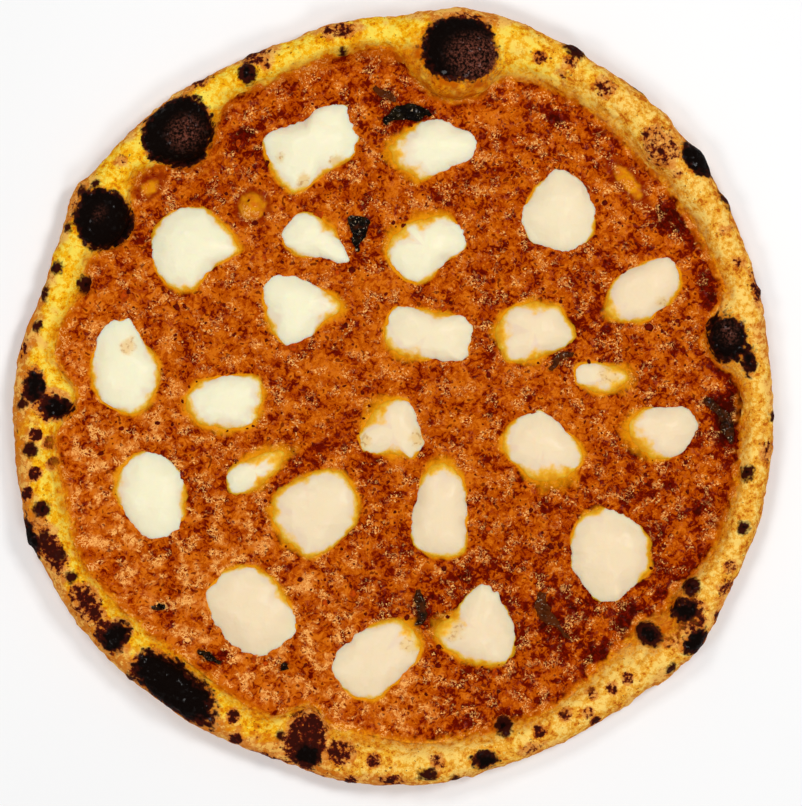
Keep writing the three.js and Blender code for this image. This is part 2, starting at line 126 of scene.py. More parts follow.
# Melted edge of each mozzarella chunk in mm: its width, then where it is wider, as degrees and extra
FRINGES = (
    (0.3, ((230, 1.2), (315, 0.6))),
    (0.3, ((180, 2.6), (225, 2.0))),
    (0.3, ((330, 0.8), (150, 0.6))),
    (0.3, ((20, 2.2), (270, 2.2), (140, 0.6))),
    (0.3, ((45, 1.8), (200, 0.8))),
    (0.5, ((135, 4.2), (90, 1.8), (300, 0.8))),
    (0.4, ((235, 2.4), (120, 0.8), (330, 1.0))),
    (0.3, ((210, 2.0), (0, 2.0))),
    (0.4, ((215, 2.8), (80, 2.2))),
    (0.7, ((180, 2.4), (270, 2.8), (80, 3.2))),
    (0.3, ((0, 2.8), (200, 1.0), (300, 1.6))),
    (0.7, ((0, 2.4), (250, 2.0), (170, 2.0))),
    (0.6, ((0, 5.0), (250, 2.0))),
    (0.3, ((130, 4.0), (270, 2.4))),
    (0.5, ((270, 3.6), (320, 3.4), (190, 1.2))),
    (0.3, ((180, 3.2), (225, 3.0))),
    (0.3, ((150, 1.4), (0, 1.0))),
    (0.6, ((40, 6.0), (300, 2.4), (130, 1.2))),
    (0.4, ((190, 2.8), (260, 2.0), (10, 1.4), (95, 1.8))),
    (0.3, ((90, 2.2), (320, 1.0), (250, 0.8))),
    (0.3, ((120, 1.6), (0, 1.6))),
    (0.3, ((45, 1.4), (120, 0.6))),
    (0.3, ((45, 2.8), (270, 1.0))),
    (0.3, ((180, 4.0), (270, 1.6))),
)
# How brown each scrap of basil still is, from burnt black to brown
BASIL_BROWN = (0, 0.9, 0.25, 0.5, 0.7, 0.85, 0.5, 0.3, 0.2, 0.3)


def tone(red, green, blue):
    """A colour in screen values from 0 to 255, as the linear values that shaders take."""
    shares = (value / 255 for value in (red, green, blue))
    return tuple(
        share / 12.92 if share <= 0.04045 else ((share + 0.055) / 1.055) ** 2.4 for share in shares
    )


def colour(name, description, *screen):
    """A colour that a user may change."""
    return FloatVectorProperty(
        name=name, description=description, subtype="COLOR", min=0, max=1, default=tone(*screen)
    )


def whole(name, description, default):
    """A whole number that a user may change."""
    return IntProperty(name=name, description=description, default=default)


def arc(name, description, degrees):
    """An angle that a user may change."""
    return FloatProperty(
        name=name, description=description, subtype="ANGLE", default=math.radians(degrees)
    )


def amount(name, description, default, unit="NONE"):
    """A number that a user may change."""
    return FloatProperty(name=name, description=description, unit=unit, default=default)


def length(name, description, default):
    """A length in metres that a user may change."""
    return FloatProperty(name=name, description=description, unit="LENGTH", precision=5, default=default)


class PizzaSettings(bpy.types.PropertyGroup):
    """Centre of the readings, and the seed."""

    centre: FloatVectorProperty(
        name="Centre", description="Middle of the sauce, which all readings are about", size=2,
        unit="LENGTH", default=(1.867 * MM, -1.393 * MM),
    )
    seed: whole("Seed", "Starts the draws that scatter the flecks", 7)


class CrustSettings(bpy.types.PropertyGroup):
    """Form and colours of the crust."""

    columns: whole("Columns", "Steps round the rim", 960)
    steps: whole("Steps", "Steps over the rim's section", 84)
    soften_along: length("Soften along", "Rounding of flat faces along the rim", 4.5 * MM)
    soften_across: length("Soften across", "Rounding of flat faces across the rim", 1.2 * MM)
    lump: length("Lumps", "Height of the soft lumps on the rim", 0.55 * MM)
    bubble: length("Bubbles", "Height of the soft bubbles on the rim", 0.9 * MM)
    pimple: length("Pimples", "Height of the small bubbles on the rim", 0.45 * MM)
    grain: length("Grain", "Height of the bready grain", 0.22 * MM)
    crackle: length("Crackle", "Height of the rough skin on the char", 0.4 * MM)
    blister: length("Blisters", "Height of the small dark blisters", 0.9 * MM)
    wander: length("Wander", "How far the outlines of the burnt blisters wander", 1.3 * MM)
    golden: colour("Golden", "Moist part of the rim", 252, 184, 16)
    pale: colour("Pale", "Light grains of the moist part", 255, 224, 84)
    straw: colour("Straw", "Dry part of the rim", 240, 168, 48)
    wheat: colour("Wheat", "Light grains of the dry part", 255, 212, 108)
    tan: colour("Tan", "Outer side of the rim, and hollows of baked patches", 212, 122, 36)
    cream: colour("Cream", "Light grains of the outer side and of baked patches", 247, 186, 88)
    toasted: colour("Toasted", "Hollows of the dry part", 198, 100, 16)
    peach: colour("Peach", "Bread between the leopard's grains", 226, 146, 66)
    browned: colour("Browned", "Leopard's grains", 108, 28, 14)
    amber: colour("Amber", "Rim soaked with sauce, and hollows of the moist part", 222, 124, 8)
    stewed: colour("Stewed", "Rim under the sauce's edge", 198, 92, 0)
    scorched: colour("Scorched", "Ring round the char and deepest grains of the leopard", 54, 15, 8)
    char: colour("Char", "Burnt blisters", 12, 5, 3)
    # Partly the char's own brown ash, partly painted highlight on the char
    ember: colour("Ember", "Brown grains of the char", 122, 66, 50)


class SauceSettings(bpy.types.PropertyGroup):
    """Form and colours of the sauce."""

    cells: whole("Cells", "Grid cells across the sauce", 304)
    edge_samples: whole("Edge samples", "Places where the sauce's edge is read", 720)
    overrun: length("Overrun", "How far the sauce runs up the rim", 2.4 * MM)
    film: length("Film", "Thickness of the sauce on the rim", 0.15 * MM)
    duck: length("Duck", "How far it goes down under burnt blisters", 2 * MM)
    skirt: length("Skirt", "How far its hidden underside lies under its level", 2 * MM)
    press: length("Press", "How far the cheese presses it down", 0.3 * MM)
    lump: length("Lumps", "Height of the soft lumps", 0.4 * MM)
    grain: length("Grain", "Height of the fine grain", 0.36 * MM)
    bubble: length("Bubbles", "Height of the few large bubbles", 1.6 * MM)
    orange: colour("Orange", "Main colour of the sauce", 172, 64, 0)
    creamy: colour("Creamy", "Where the cream shows", 188, 83, 2)
    golden: colour("Golden", "Light grains", 212, 108, 16)
    curdled: colour("Curdled", "Where the cream has split", 204, 110, 24)
    hollow: colour("Hollows", "Between the grains", 132, 28, 0)
    pit: colour("Pits", "Small dark spots", 100, 12, 0)
    stain: colour("Stain", "Deepest grains, cooked dark", 58, 8, 1)
    # Painted highlight: a glint colour painted into the sauce's base colour
    sparkle: colour("Sparkle", "Fine grains that catch the light", 252, 182, 98)
    blown: colour("Blown", "Skin of the large bubbles", 226, 146, 10)


class CheeseSettings(bpy.types.PropertyGroup):
    """Form and colours of the mozzarella."""

    sides: whole("Sides", "Steps round a chunk", 144)
    rings: whole("Rings", "Steps from a chunk's middle to its edge", 28)
    ragged: length("Ragged", "How far the torn outline wanders", 0.5 * MM)
    hem: length("Hem", "How far a chunk runs on under the sauce", 1.2 * MM)
    shore: length("Shore", "Width of melted edge that stays hidden under the sauce", 0.8 * MM)
    dip: length("Dip", "How far the outline lies under the seat", 0.55 * MM)
    sink: length("Sink", "How far the hidden underside goes down", 1 * MM)
    least_melt: length("Least melt", "Narrowest melted edge", 0.15 * MM)
    lump: length("Lumps", "Height of the soft lumps", 0.4 * MM)
    white: colour("White", "Mozzarella at the upper left", 245, 239, 208)
    warm: colour("Warm", "Mozzarella at the lower right", 242, 222, 187)
    blush: colour("Blush", "Pinkish places near the edge", 232, 204, 184)
    butter: colour("Butter", "Melted edge", 252, 196, 48)
    soaked: colour("Soaked", "Melted edge stained by the sauce", 232, 150, 10)
    clear: colour("Clear", "Thin places that the sauce shows through", 236, 202, 136)
    crisp: colour("Crisp", "Brown dots in the thin places", 200, 150, 88)


class BasilSettings(bpy.types.PropertyGroup):
    """Form and colours of the burnt basil."""

    levels: whole("Levels", "How often a leaf's faces are split", 3)
    crumple: length("Crumple", "Height of the creases", 0.6 * MM)
    fray: length("Fray", "How far the outline wanders", 0.9 * MM)
    leaf: colour("Leaf", "Burnt leaf", 9, 5, 3)
    green: colour("Green", "Where green still shows", 28, 20, 6)
    brown: colour("Brown", "Leaf that is only browned", 84, 36, 8)
    # Painted highlight: a glint colour painted into the leaf's base colour
    glint: colour("Glint", "Creases that catch the light", 196, 172, 140)


class FleckSettings(bpy.types.PropertyGroup):
    """Herb and tomato flecks on the sauce."""

    herb_count: whole("Herb flecks", "How many", 420)
    tomato_count: whole("Tomato flecks", "How many", 30)
    herb_size: length("Herb size", "Mean half-width of a herb fleck", 0.6 * MM)
    tomato_size: length("Tomato size", "Mean half-width of a tomato fleck", 1.5 * MM)
    spread: length("Spread", "Radius that the flecks lie within", 121 * MM)
    herb: colour("Herb", "Burnt herb", 104, 14, 0)
    tomato: colour("Tomato", "Bits of tomato", 196, 70, 0)


class StageSettings(bpy.types.PropertyGroup):
    """Floor, lights and camera."""

    camera_height: length("Camera height", "Camera above the floor", 1.0)
    view_height: length("View height", "Height of the picture at the pizza's surface", 314.3 * MM)
    view_plane: length("View plane", "Height of that surface", 8 * MM)
    view_centre: FloatVectorProperty(
        name="View centre", description="Point under the camera", size=2, unit="LENGTH",
        default=(3.04 * MM, -2.56 * MM),
    )
    light_count: whole("Lights", "Soft lights round the pizza", 4)
    light_distance: length("Light distance", "From the pizza to each light", 1.2)
    light_turn: arc("Light turn", "Direction of the strongest light", 28)
    light_rise: arc("Light rise", "Height of the lights as an angle", 56)
    light_size: length("Light size", "Side of each soft light", 0.28)
    light_power: amount("Light power", "Watts of each light", 2.9, "POWER")
    key_share: amount("Key share", "Strongest light against the others", 1.6)
    sky: amount("Sky", "Strength of the light from all round", 0.28)
    floor: colour("Floor", "Pale floor", 250, 250, 250)


# Noise and bumps

def lattice(cells, kind, seed):
    """Even random values from 0 to 1 for whole-number cells, the same in every run."""
    mixed = np.full(len(cells), kind * KIND_FACTOR + seed * SEED_FACTOR, np.uint64)
    for column, factor in zip(cells.T, CELL_FACTORS):
        mixed ^= column.astype(np.int64).astype(np.uint64) * np.uint64(factor)
    mixed = (mixed ^ (mixed >> np.uint64(13))) * np.uint64(LAST_FACTOR)
    mixed ^= mixed >> np.uint64(16)
    return (mixed & np.uint64(LOW_BITS)).astype(float) / LOW_BITS


def soft_noise(points, size, seed):
    """Smooth noise from -1 to 1 with lumps about one size apart."""
    scaled = points / size
    cell = np.floor(scaled)
    part = scaled - cell
    blend = part ** 3 * (part * (part * 6 - 15) + 10)
    total = np.zeros(len(points))
    for corner in np.ndindex(*(2,) * points.shape[1]):
        weight = np.prod(np.where(corner, blend, 1 - blend), axis=1)
        total += weight * (2 * lattice(cell + corner, 0, seed) - 1)
    return total


def layered_noise(points, size, seed, layers=3):
    """Noise with finer layers, each half the size and height of the one before."""
    return sum(soft_noise(points, size / 2 ** layer, seed + layer) / 2 ** layer for layer in range(layers))


def domes(flat, spacing, chance, seed):
    """Round bumps from 0 to 1, of uneven width, in some cells of a flat grid."""
    cell = np.floor(flat / spacing)
    height = np.zeros(len(flat))
    for shift in np.ndindex(3, 3):
        near = cell + np.array(shift) - 1
        across, along, width, draw = (lattice(near, kind, seed) for kind in range(1, 5))
        middle = (near + 0.25 + 0.5 * np.column_stack((across, along))) * spacing
        reach = spacing * (0.2 + 0.4 * width)
        square = ((flat - middle) ** 2).sum(axis=1) / reach ** 2
        height = np.maximum(height, np.where(draw < chance, (1 - square) * (0.4 + 0.6 * width), 0))
    return height


def smooth_step(values, low, high):
    """0 below low, 1 above high and a soft rise between them."""
    share = np.clip((values - low) / (high - low), 0, 1)
    return share * share * (3 - 2 * share)


def blur(grid, spread, axis, wrap):
    """A grid smoothed along one axis by a bell curve; spread is in cells."""
    reach = max(1, int(3 * spread))
    offsets = np.arange(-reach, reach + 1)
    weights = np.exp(-0.5 * (offsets / spread) ** 2)
    weights /= weights.sum()
    margin = [(0, 0)] * grid.ndim
    margin[axis] = (reach, reach)
    padded = np.pad(grid, margin, mode="wrap" if wrap else "edge")
    size = grid.shape[axis]
    parts = (np.take(padded, range(start, start + size), axis=axis) for start in range(2 * reach + 1))
    return sum(weight * part for weight, part in zip(weights, parts))


# Reading the solids

def solid_tree(*names):
    """The faces of these solids, ready for casting rays at."""
    points = []
    faces = []
    for name in names:
        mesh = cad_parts[name].data
        start = len(points)
        points += [vertex.co.copy() for vertex in mesh.vertices]
        faces += [[start + corner for corner in face.vertices] for face in mesh.polygons]
    return BVHTree.FromPolygons(points, faces)


def piece_tree(name):
    """The faces of a piece made earlier, ready for casting rays at."""
    mesh = bpy.data.objects[name].data
    points = [vertex.co.copy() for vertex in mesh.vertices]
    return BVHTree.FromPolygons(points, [face.vertices[:] for face in mesh.polygons])


def nodes_named(start):
    """The solids of one kind, in order."""
    return sorted(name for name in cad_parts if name.startswith(start))


def reading_centre(context):
    """The point on the floor that all readings are about."""
    return Vector((*context.scene.pizza.centre, 0))


def outward(angle):
    """Level direction at an angle."""
    return Vector((math.cos(angle), math.sin(angle), 0))


def turned_by(angles, degrees):
    """Angles measured from a direction, from minus to plus half a turn."""
    return (angles - math.radians(degrees) + math.pi) % TAU - math.pi


def towards(turn, degrees, full, gone):
    """1 close to a direction and 0 away from it, by two angles in radians."""
    return smooth_step(np.abs(turned_by(turn, degrees)), gone, full)


def edge_reach(tree, middle, angles, heights, far):
    """How far a solid reaches from its middle at each angle, seen from above."""
    reach = []
    for angle in angles:
        direction = outward(angle)
        starts = (middle + direction * far + Vector((0, 0, height)) for height in heights)
        hits = (tree.ray_cast(start, -direction, far)[3] for start in starts)
        reach.append(max((far - hit for hit in hits if hit is not None), default=math.nan))
    reach = np.array(reach)
    known = np.isfinite(reach)
    return np.interp(np.arange(len(reach)), np.flatnonzero(known), reach[known])


def drop(tree, x, y, otherwise=0):
    """Height at which a ray from above lands, or another height where it lands on nothing."""
    place = tree.ray_cast(Vector((x, y, ABOVE)), Vector((0, 0, -1)))[0]
    return otherwise if place is None else place.z


def rim_depth(turn, radius, spots):
    """How deep a place lies inside some spots on the rim, in mm, and below 0 outside them."""
    depth = np.full(len(turn), OUTSIDE)
    for degrees, middle, along, across in spots:
        apart = np.hypot(turned_by(turn, degrees) * middle / along, (radius / MM - middle) / across)
        depth = np.maximum(depth, (1 - apart) * min(along, across))
    return depth


def flat_depth(flat, spots):
    """The same for spots on the sauce or cheese, each given by its place, half-sizes in mm and turn."""
    depth = np.full(len(flat), OUTSIDE)
    for x, y, along, across, degrees in spots:
        east, north = (flat / MM - (x, y)).T
        cosine = math.cos(math.radians(degrees))
        sine = math.sin(math.radians(degrees))
        apart = np.hypot((east * cosine + north * sine) / along, (north * cosine - east * sine) / across)
        depth = np.maximum(depth, (1 - apart) * min(along, across))
    return depth


def capped(depth, margin, most):
    """A depth counted from a margin outside the spots, and no further in than most."""
    return np.clip(depth + margin, 0, most)


# Making pieces

def set_field(mesh, name, values):
    """Gives each corner of a mesh a value that its material can read."""
    field = mesh.attributes.new(name, "FLOAT", "POINT")
    field.data.foreach_set("value", np.asarray(values, np.float32))


def new_piece(name, points, faces, fields, material):
    """A smooth mesh object with one value for each corner in each named field."""
    mesh = bpy.data.meshes.new(name)
    mesh.from_pydata([tuple(point) for point in points], [], faces)
    mesh.shade_smooth()
    for field, values in fields.items():
        set_field(mesh, field, values)
    mesh.materials.append(material)
    piece = bpy.data.objects.new(name, mesh)
    bpy.context.scene.collection.objects.link(piece)
    return piece


def settle(piece, slot, *nodes):
    """Ties a piece to the pizza's one body and hides the solids that it stands for; the slot for its finish
    is not used.
    """
    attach(piece, "root")
    if nodes:
        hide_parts(*nodes)


def closed_faces(columns, steps):
    """Faces of a grid of rings, numbered along each column's steps, with a fan over both open ends.

    The last two corners are the middles of the fans.
    """
    faces = []
    for column in range(columns):
        here = range(column * steps, (column + 1) * steps)
        start = (column + 1) % columns * steps
        there = range(start, start + steps)
        faces += zip(here, here[1:], there[1:], there)
    first_ring = [column * steps for column in range(columns)]
    last_ring = [corner + steps - 1 for corner in reversed(first_ring)]
    middle = columns * steps
    return faces + fan_faces(middle, first_ring) + fan_faces(middle + 1, last_ring)


def band_faces(upper, lower):
    """Faces between two rings of corners."""
    return list(zip(upper, lower, lower[1:] + lower[:1], upper[1:] + upper[:1]))


def fan_faces(middle, ring):
    """Triangles from a middle corner to a ring of corners."""
    return [(middle, here, there) for here, there in zip(ring, ring[1:] + ring[:1])]


# Shader building

class Shading:
    """Short calls for filling one node tree."""

    def __init__(self, tree):
        self.tree = tree

    def feed(self, sockets, values):
        """Links each named or numbered socket to another one, or sets a plain value on it."""
        for key, value in values.items():
            socket = sockets[key]
            if isinstance(value, bpy.types.NodeSocket):
                self.tree.links.new(value, socket)
            elif socket.type == "RGBA":
                socket.default_value = (*value[:3], 1)
            else:
                socket.default_value = value

    def add(self, kind, inputs=None, **settings):
        """A new node with these settings and inputs."""
        node = self.tree.nodes.new(kind)
        for name, value in settings.items():
            setattr(node, name, value)
        self.feed(node.inputs, inputs or {})
        return node

    def math(self, operation, first, second=0.0, third=0.0):
        return self.add("ShaderNodeMath", {0: first, 1: second, 2: third}, operation=operation).outputs[0]

    def plus(self, first, second):
        return self.math("ADD", first, second)

    def times(self, first, second):
        return self.math("MULTIPLY", first, second)

    def scaled(self, value, factor, shift):
        return self.math("MULTIPLY_ADD", value, factor, shift)

    def most(self, first, second):
        return self.math("MAXIMUM", first, second)

    def mix(self, share, first, second):
        """The first colour where the share is 0, and the second where it is 1."""
        return self.add("ShaderNodeMix", {0: share, 6: first, 7: second}, data_type="RGBA").outputs[2]

    def rise(self, value, low, high, top=1.0, bottom=0.0):
        """Bottom where the value is at low, top where it is at high, and a soft change between them."""
        limits = {"Value": value, "From Min": low, "From Max": high, "To Min": bottom, "To Max": top}
        return self.add("ShaderNodeMapRange", limits, interpolation_type="SMOOTHSTEP").outputs[0]

    def noise(self, size, detail=3.0, roughness=0.5, curl=0.0):
        """Noise from 0 to 1, mostly near a half, with lumps of a size in mm."""
        linked = isinstance(size, bpy.types.NodeSocket)
        return self.add("ShaderNodeTexNoise", {
            "Vector": self.add("ShaderNodeTexCoord").outputs["Object"],
            "Scale": self.math("DIVIDE", 1 / MM, size) if linked else 1 / (MM * size),
            "Detail": detail,
            "Roughness": roughness,
            "Distortion": curl,
        }).outputs[0]

    def field(self, name):
        """A value that the piece's corners hold."""
        return self.add("ShaderNodeAttribute", attribute_name=name).outputs["Fac"]

    def group(self, tree, **inputs):
        """The outputs of a shader group placed with its own values."""
        return self.add("ShaderNodeGroup", inputs, node_tree=tree).outputs

    def mask(self, depth, size, ragged, softness):
        """1 where a depth is above 0 and 0 where it is below, with a ragged edge."""
        return self.group(ragged_mask(), Depth=depth, Size=size, Ragged=ragged, Softness=softness)["Mask"]

    def tint(self, first, second, size, spread, middle=0.5):
        """Two colours mixed unevenly."""
        values = {"First": first, "Second": second, "Size": size, "Middle": middle, "Spread": spread}
        return self.group(uneven_tint(), **values)["Color"]

    def bump(self, height, depth):
        return self.add("ShaderNodeBump", {"Height": height, "Distance": depth}).outputs[0]


def built_once(build):
    """Makes a shader group when it is first asked for, and finds it again after that."""
    def find():
        return bpy.data.node_groups.get(build.__name__) or build()
    return find


def effect(name, inputs, outputs):
    """An empty shader group with named inputs and outputs: its shading and both ends."""
    tree = bpy.data.node_groups.new(name, "ShaderNodeTree")
    for socket, default in inputs.items():
        kind = "NodeSocketColor" if isinstance(default, tuple) else "NodeSocketFloat"
        made = tree.interface.new_socket(name=socket, in_out="INPUT", socket_type=kind)
        made.default_value = (*default, 1) if isinstance(default, tuple) else default
    for socket in outputs:
        kind = "NodeSocketColor" if socket == "Color" else "NodeSocketFloat"
        tree.interface.new_socket(name=socket, in_out="OUTPUT", socket_type=kind)
    shading = Shading(tree)
    return shading, shading.add("NodeGroupInput").outputs, shading.add("NodeGroupOutput").inputs


@built_once
def ragged_mask():
    """Group: a depth turned into a mask whose edge wanders by about Ragged over lumps of a size in mm."""
    # Noise mostly stays within a quarter of its middle, so this lets it swing by about one
    noise_spread = 4.0
    inputs = {"Depth": 0.0, "Size": 2.0, "Ragged": 1.0, "Softness": 0.5}
    shading, given, made = effect("ragged_mask", inputs, ("Mask",))
    swing = shading.plus(shading.noise(given["Size"], detail=2.0), -0.5)
    depth = shading.scaled(swing, shading.times(given["Ragged"], noise_spread), given["Depth"])
    low = shading.times(given["Softness"], -1.0)
    shading.feed(made, {"Mask": shading.rise(depth, low, given["Softness"])})
    return shading.tree


@built_once
def uneven_tint():
    """Group: two colours mixed by noise of a size in mm."""
    inputs = {"First": (1.0, 1.0, 1.0), "Second": (0.0, 0.0, 0.0)}
    inputs.update({"Size": 5.0, "Middle": 0.5, "Spread": 0.1})
    shading, given, made = effect("uneven_tint", inputs, ("Color",))
    low = shading.math("SUBTRACT", given["Middle"], given["Spread"])
    high = shading.plus(given["Middle"], given["Spread"])
    share = shading.rise(shading.noise(given["Size"], detail=4.0), low, high)
    shading.feed(made, {"Color": shading.mix(share, given["First"], given["Second"])})
    return shading.tree


@built_once
def broken_grain():
    """Group: a colour broken up by dark hollows and light grains, with the height that goes with them."""
    inputs = {"Base": (0.5, 0.1, 0.0), "Light": (0.9, 0.4, 0.1), "Dark": (0.2, 0.0, 0.0)}
    inputs.update({"Size": 3.0, "Roughness": 0.72, "Curl": 0.0, "Shift": 0.0})
    shading, given, made = effect("broken_grain", inputs, ("Color", "Height"))
    grain = shading.noise(given["Size"], 8.0, given["Roughness"], given["Curl"])
    height = shading.plus(grain, given["Shift"])
    base = shading.mix(shading.rise(height, 0.49, 0.4), given["Base"], given["Dark"])
    base = shading.mix(shading.rise(height, 0.51, 0.61), base, given["Light"])
    shading.feed(made, {"Color": base, "Height": height})
    return shading.tree


def new_material(name, sockets):
    """A material with the values that are the same all over, its shading and its surface's inputs."""
    material = bpy.data.materials.new(name)
    material.use_nodes = True
    surface = material.node_tree.nodes["Principled BSDF"].inputs
    shading = Shading(material.node_tree)
    shading.feed(surface, sockets)
    return material, shading, surface


# Where the crust and the sauce meet

def sauce_edge(centre, angles):
    """Reach of the sauce round the pizza, smoothed over about a degree."""
    heights = np.arange(4, 12, 0.25) * MM
    reach = edge_reach(solid_tree("vodka_sauce"), centre, angles, heights, BEYOND)
    return blur(reach, len(angles) / 360, 0, True)


def soak_depth(turn, climb):
    """How deep in soaked bread a place lies, in mm, by how far it is above the sauce's edge."""
    soaked_height = 4.5
    moist_extra = 0.5
    return soaked_height + moist_extra * moist_share(turn) - climb


def moist_share(turn):
    """How moist and yellow the rim is: most on the left."""
    return towards(turn, 160, full=1.1, gone=2.2)


@built_once
def soaked_bread():
    """Group: bread stained by sauce, and stewed where Soak, a depth in mm, is greatest."""
    colours = ("Bread", "Stained", "Light", "Dark", "Stewed")
    inputs = {name: (1.0, 1.0, 1.0) for name in colours}
    shading, given, made = effect("soaked_bread", {**inputs, "Soak": 0.0}, ("Color",))
    tints = {"Base": given["Stained"], "Light": given["Light"], "Dark": given["Dark"]}
    grain = shading.group(broken_grain(), **tints, Size=1.8)
    wet = shading.mask(given["Soak"], size=7.0, ragged=3.0, softness=5.0)
    deep = shading.mask(shading.plus(given["Soak"], -3.0), size=5.0, ragged=3.0, softness=2.0)
    bread = shading.mix(wet, given["Bread"], grain["Color"])
    shading.feed(made, {"Color": shading.mix(deep, bread, given["Stewed"])})
    return shading.tree


def soaked(shading, crust, sauce, bread):
    """Bread soaked towards the sauce, alike on both pieces where they meet."""
    light = tuple((amber + golden) / 2 for amber, golden in zip(crust.amber, crust.golden))
    return shading.group(
        soaked_bread(), Bread=bread, Stained=crust.amber, Light=light, Dark=sauce.orange,
        Stewed=crust.stewed, Soak=shading.field("soak"),
    )["Color"]


# Crust

def leopard_bread(shading, crust):
    """Colour and height of the rim's bread: light and dark grains, baked patches and leopard spots."""
    bake = shading.field("bake")
    dry = shading.mask(shading.field("dry"), size=9.0, ragged=0.5, softness=0.7)
    outer = shading.mask(shading.field("outer"), size=8.0, ragged=6.0, softness=3.0)
    base = shading.mix(outer, shading.mix(dry, crust.golden, crust.straw), crust.tan)
    light = shading.mix(outer, shading.mix(dry, crust.pale, crust.wheat), crust.cream)
    blotch = shading.scaled(shading.noise(5.0), 0.7, -0.35)
    patch = shading.rise(shading.plus(bake, blotch), 0.02, -0.14, top=0.9)
    base = shading.mix(patch, base, crust.peach)
    light = shading.mix(patch, light, crust.cream)
    dark = shading.mix(patch, shading.mix(dry, crust.amber, crust.toasted), crust.tan)
    cloud = shading.scaled(shading.noise(8.0, detail=4.0), 0.44, -0.21)
    shift = shading.scaled(bake, 0.3, cloud)
    bread = shading.group(broken_grain(), Base=base, Light=light, Dark=dark, Size=2.4, Shift=shift)
    speckle = shading.noise(1.9, detail=4.0, roughness=0.62)
    spotted = shading.plus(shading.plus(cloud, bake), speckle)
    leopard = shading.rise(spotted, 0.41, 0.28)
    pepper = shading.rise(shading.noise(1.3, detail=2.0), 0.66, 0.72, top=0.8)
    peppered = shading.times(pepper, shading.rise(shading.noise(12.0), 0.44, 0.58))
    seared = shading.mix(shading.rise(spotted, 0.32, 0.2), crust.browned, crust.scorched)
    return shading.mix(shading.most(leopard, peppered), bread["Color"], seared), bread["Height"]


def crust_material(crust, sauce):
    """Leopard-spotted bread, soaked at its foot, with burnt blisters in scorched rings."""
    material, shading, surface = new_material("baked_crust", {
        "Specular IOR Level": 0.02, "Coat Roughness": 0.2,
    })
    large = shading.field("char_depth")
    small = shading.field("small_depth")
    bread, height = leopard_bread(shading, crust)
    singed = shading.most(
        shading.mask(shading.plus(large, 0.5), size=2.4, ragged=1.6, softness=0.7),
        shading.mask(small, size=1.8, ragged=0.9, softness=0.8),
    )
    base = shading.mix(singed, soaked(shading, crust, sauce, bread), crust.scorched)
    burnt = shading.most(
        shading.mask(shading.plus(large, -0.8), size=2.4, ragged=1.6, softness=0.9),
        shading.mask(shading.plus(small, -2.3), size=1.6, ragged=1.2, softness=0.8),
    )
    base = shading.mix(burnt, base, crust.char)
    # Ember grains in the char's middle: partly brown ash, partly painted highlights
    ash = shading.rise(shading.field("ash"), -1.0, 7.0)
    grains = shading.rise(shading.noise(1.0, detail=4.0, roughness=0.7), 0.42, 0.68)
    glinting = shading.rise(shading.noise(2.0), 0.56, 0.68, top=0.2)
    shading.feed(surface, {
        "Base Color": shading.mix(shading.times(ash, grains), base, crust.ember),
        "Coat Weight": shading.times(singed, glinting),
        "Roughness": shading.rise(burnt, 0.0, 1.0, top=0.5, bottom=0.7),
        "Normal": shading.bump(height, 0.7 * MM),
    })
    return material


def rim_profiles(centre, angles, edge):
    """The rim's section at each angle, from the sauce over the crest to the underside: radius and height."""
    tree = solid_tree("dough")
    samples = 220
    core_height = 3 * MM
    base_height = 3.5 * MM
    under_run = 6 * MM
    end = math.radians(290)
    profiles = []
    for angle, inner in zip(angles, edge):
        direction = outward(angle)
        start = centre + direction * BEYOND + Vector((0, 0, 2 * core_height))
        reach = BEYOND - tree.ray_cast(start, -direction)[3]
        core = (inner + reach) / 2
        origin = centre + direction * core + Vector((0, 0, core_height))
        first = math.atan2(base_height - core_height, core - inner + under_run)
        profile = []
        for sample in range(samples):
            turn = first + (end - first) * (sample / (samples - 1)) ** 2
            ray = Vector((0, 0, math.sin(turn))) - direction * math.cos(turn)
            distance = tree.ray_cast(origin, ray)[3]
            profile.append((core - distance * math.cos(turn), core_height + distance * math.sin(turn)))
        profiles.append(profile)
    return np.array(profiles)


def even_steps(profiles, steps):
    """Profiles cut again into steps of even length, with the distance run along each."""
    travel = np.hypot(*np.diff(profiles, axis=1).transpose(2, 0, 1))
    run = np.concatenate((np.zeros((len(profiles), 1)), np.cumsum(travel, axis=1)), axis=1)
    even = run[:, -1:] * np.linspace(0, 1, steps)
    cut = [
        [np.interp(wanted, along, profile[:, axis]) for axis in range(2)]
        for wanted, along, profile in zip(even, run, profiles)
    ]
    return np.array(cut).transpose(1, 0, 2), even


def grid_normals(points):
    """Outward normals of a grid of rings, indexed by column and step."""
    shortest = 1e-12
    round_rim = np.roll(points, -1, axis=0) - np.roll(points, 1, axis=0)
    over_rim = np.gradient(points, axis=1)
    normals = np.cross(over_rim, round_rim)
    return normals / np.maximum(np.linalg.norm(normals, axis=2, keepdims=True), shortest)


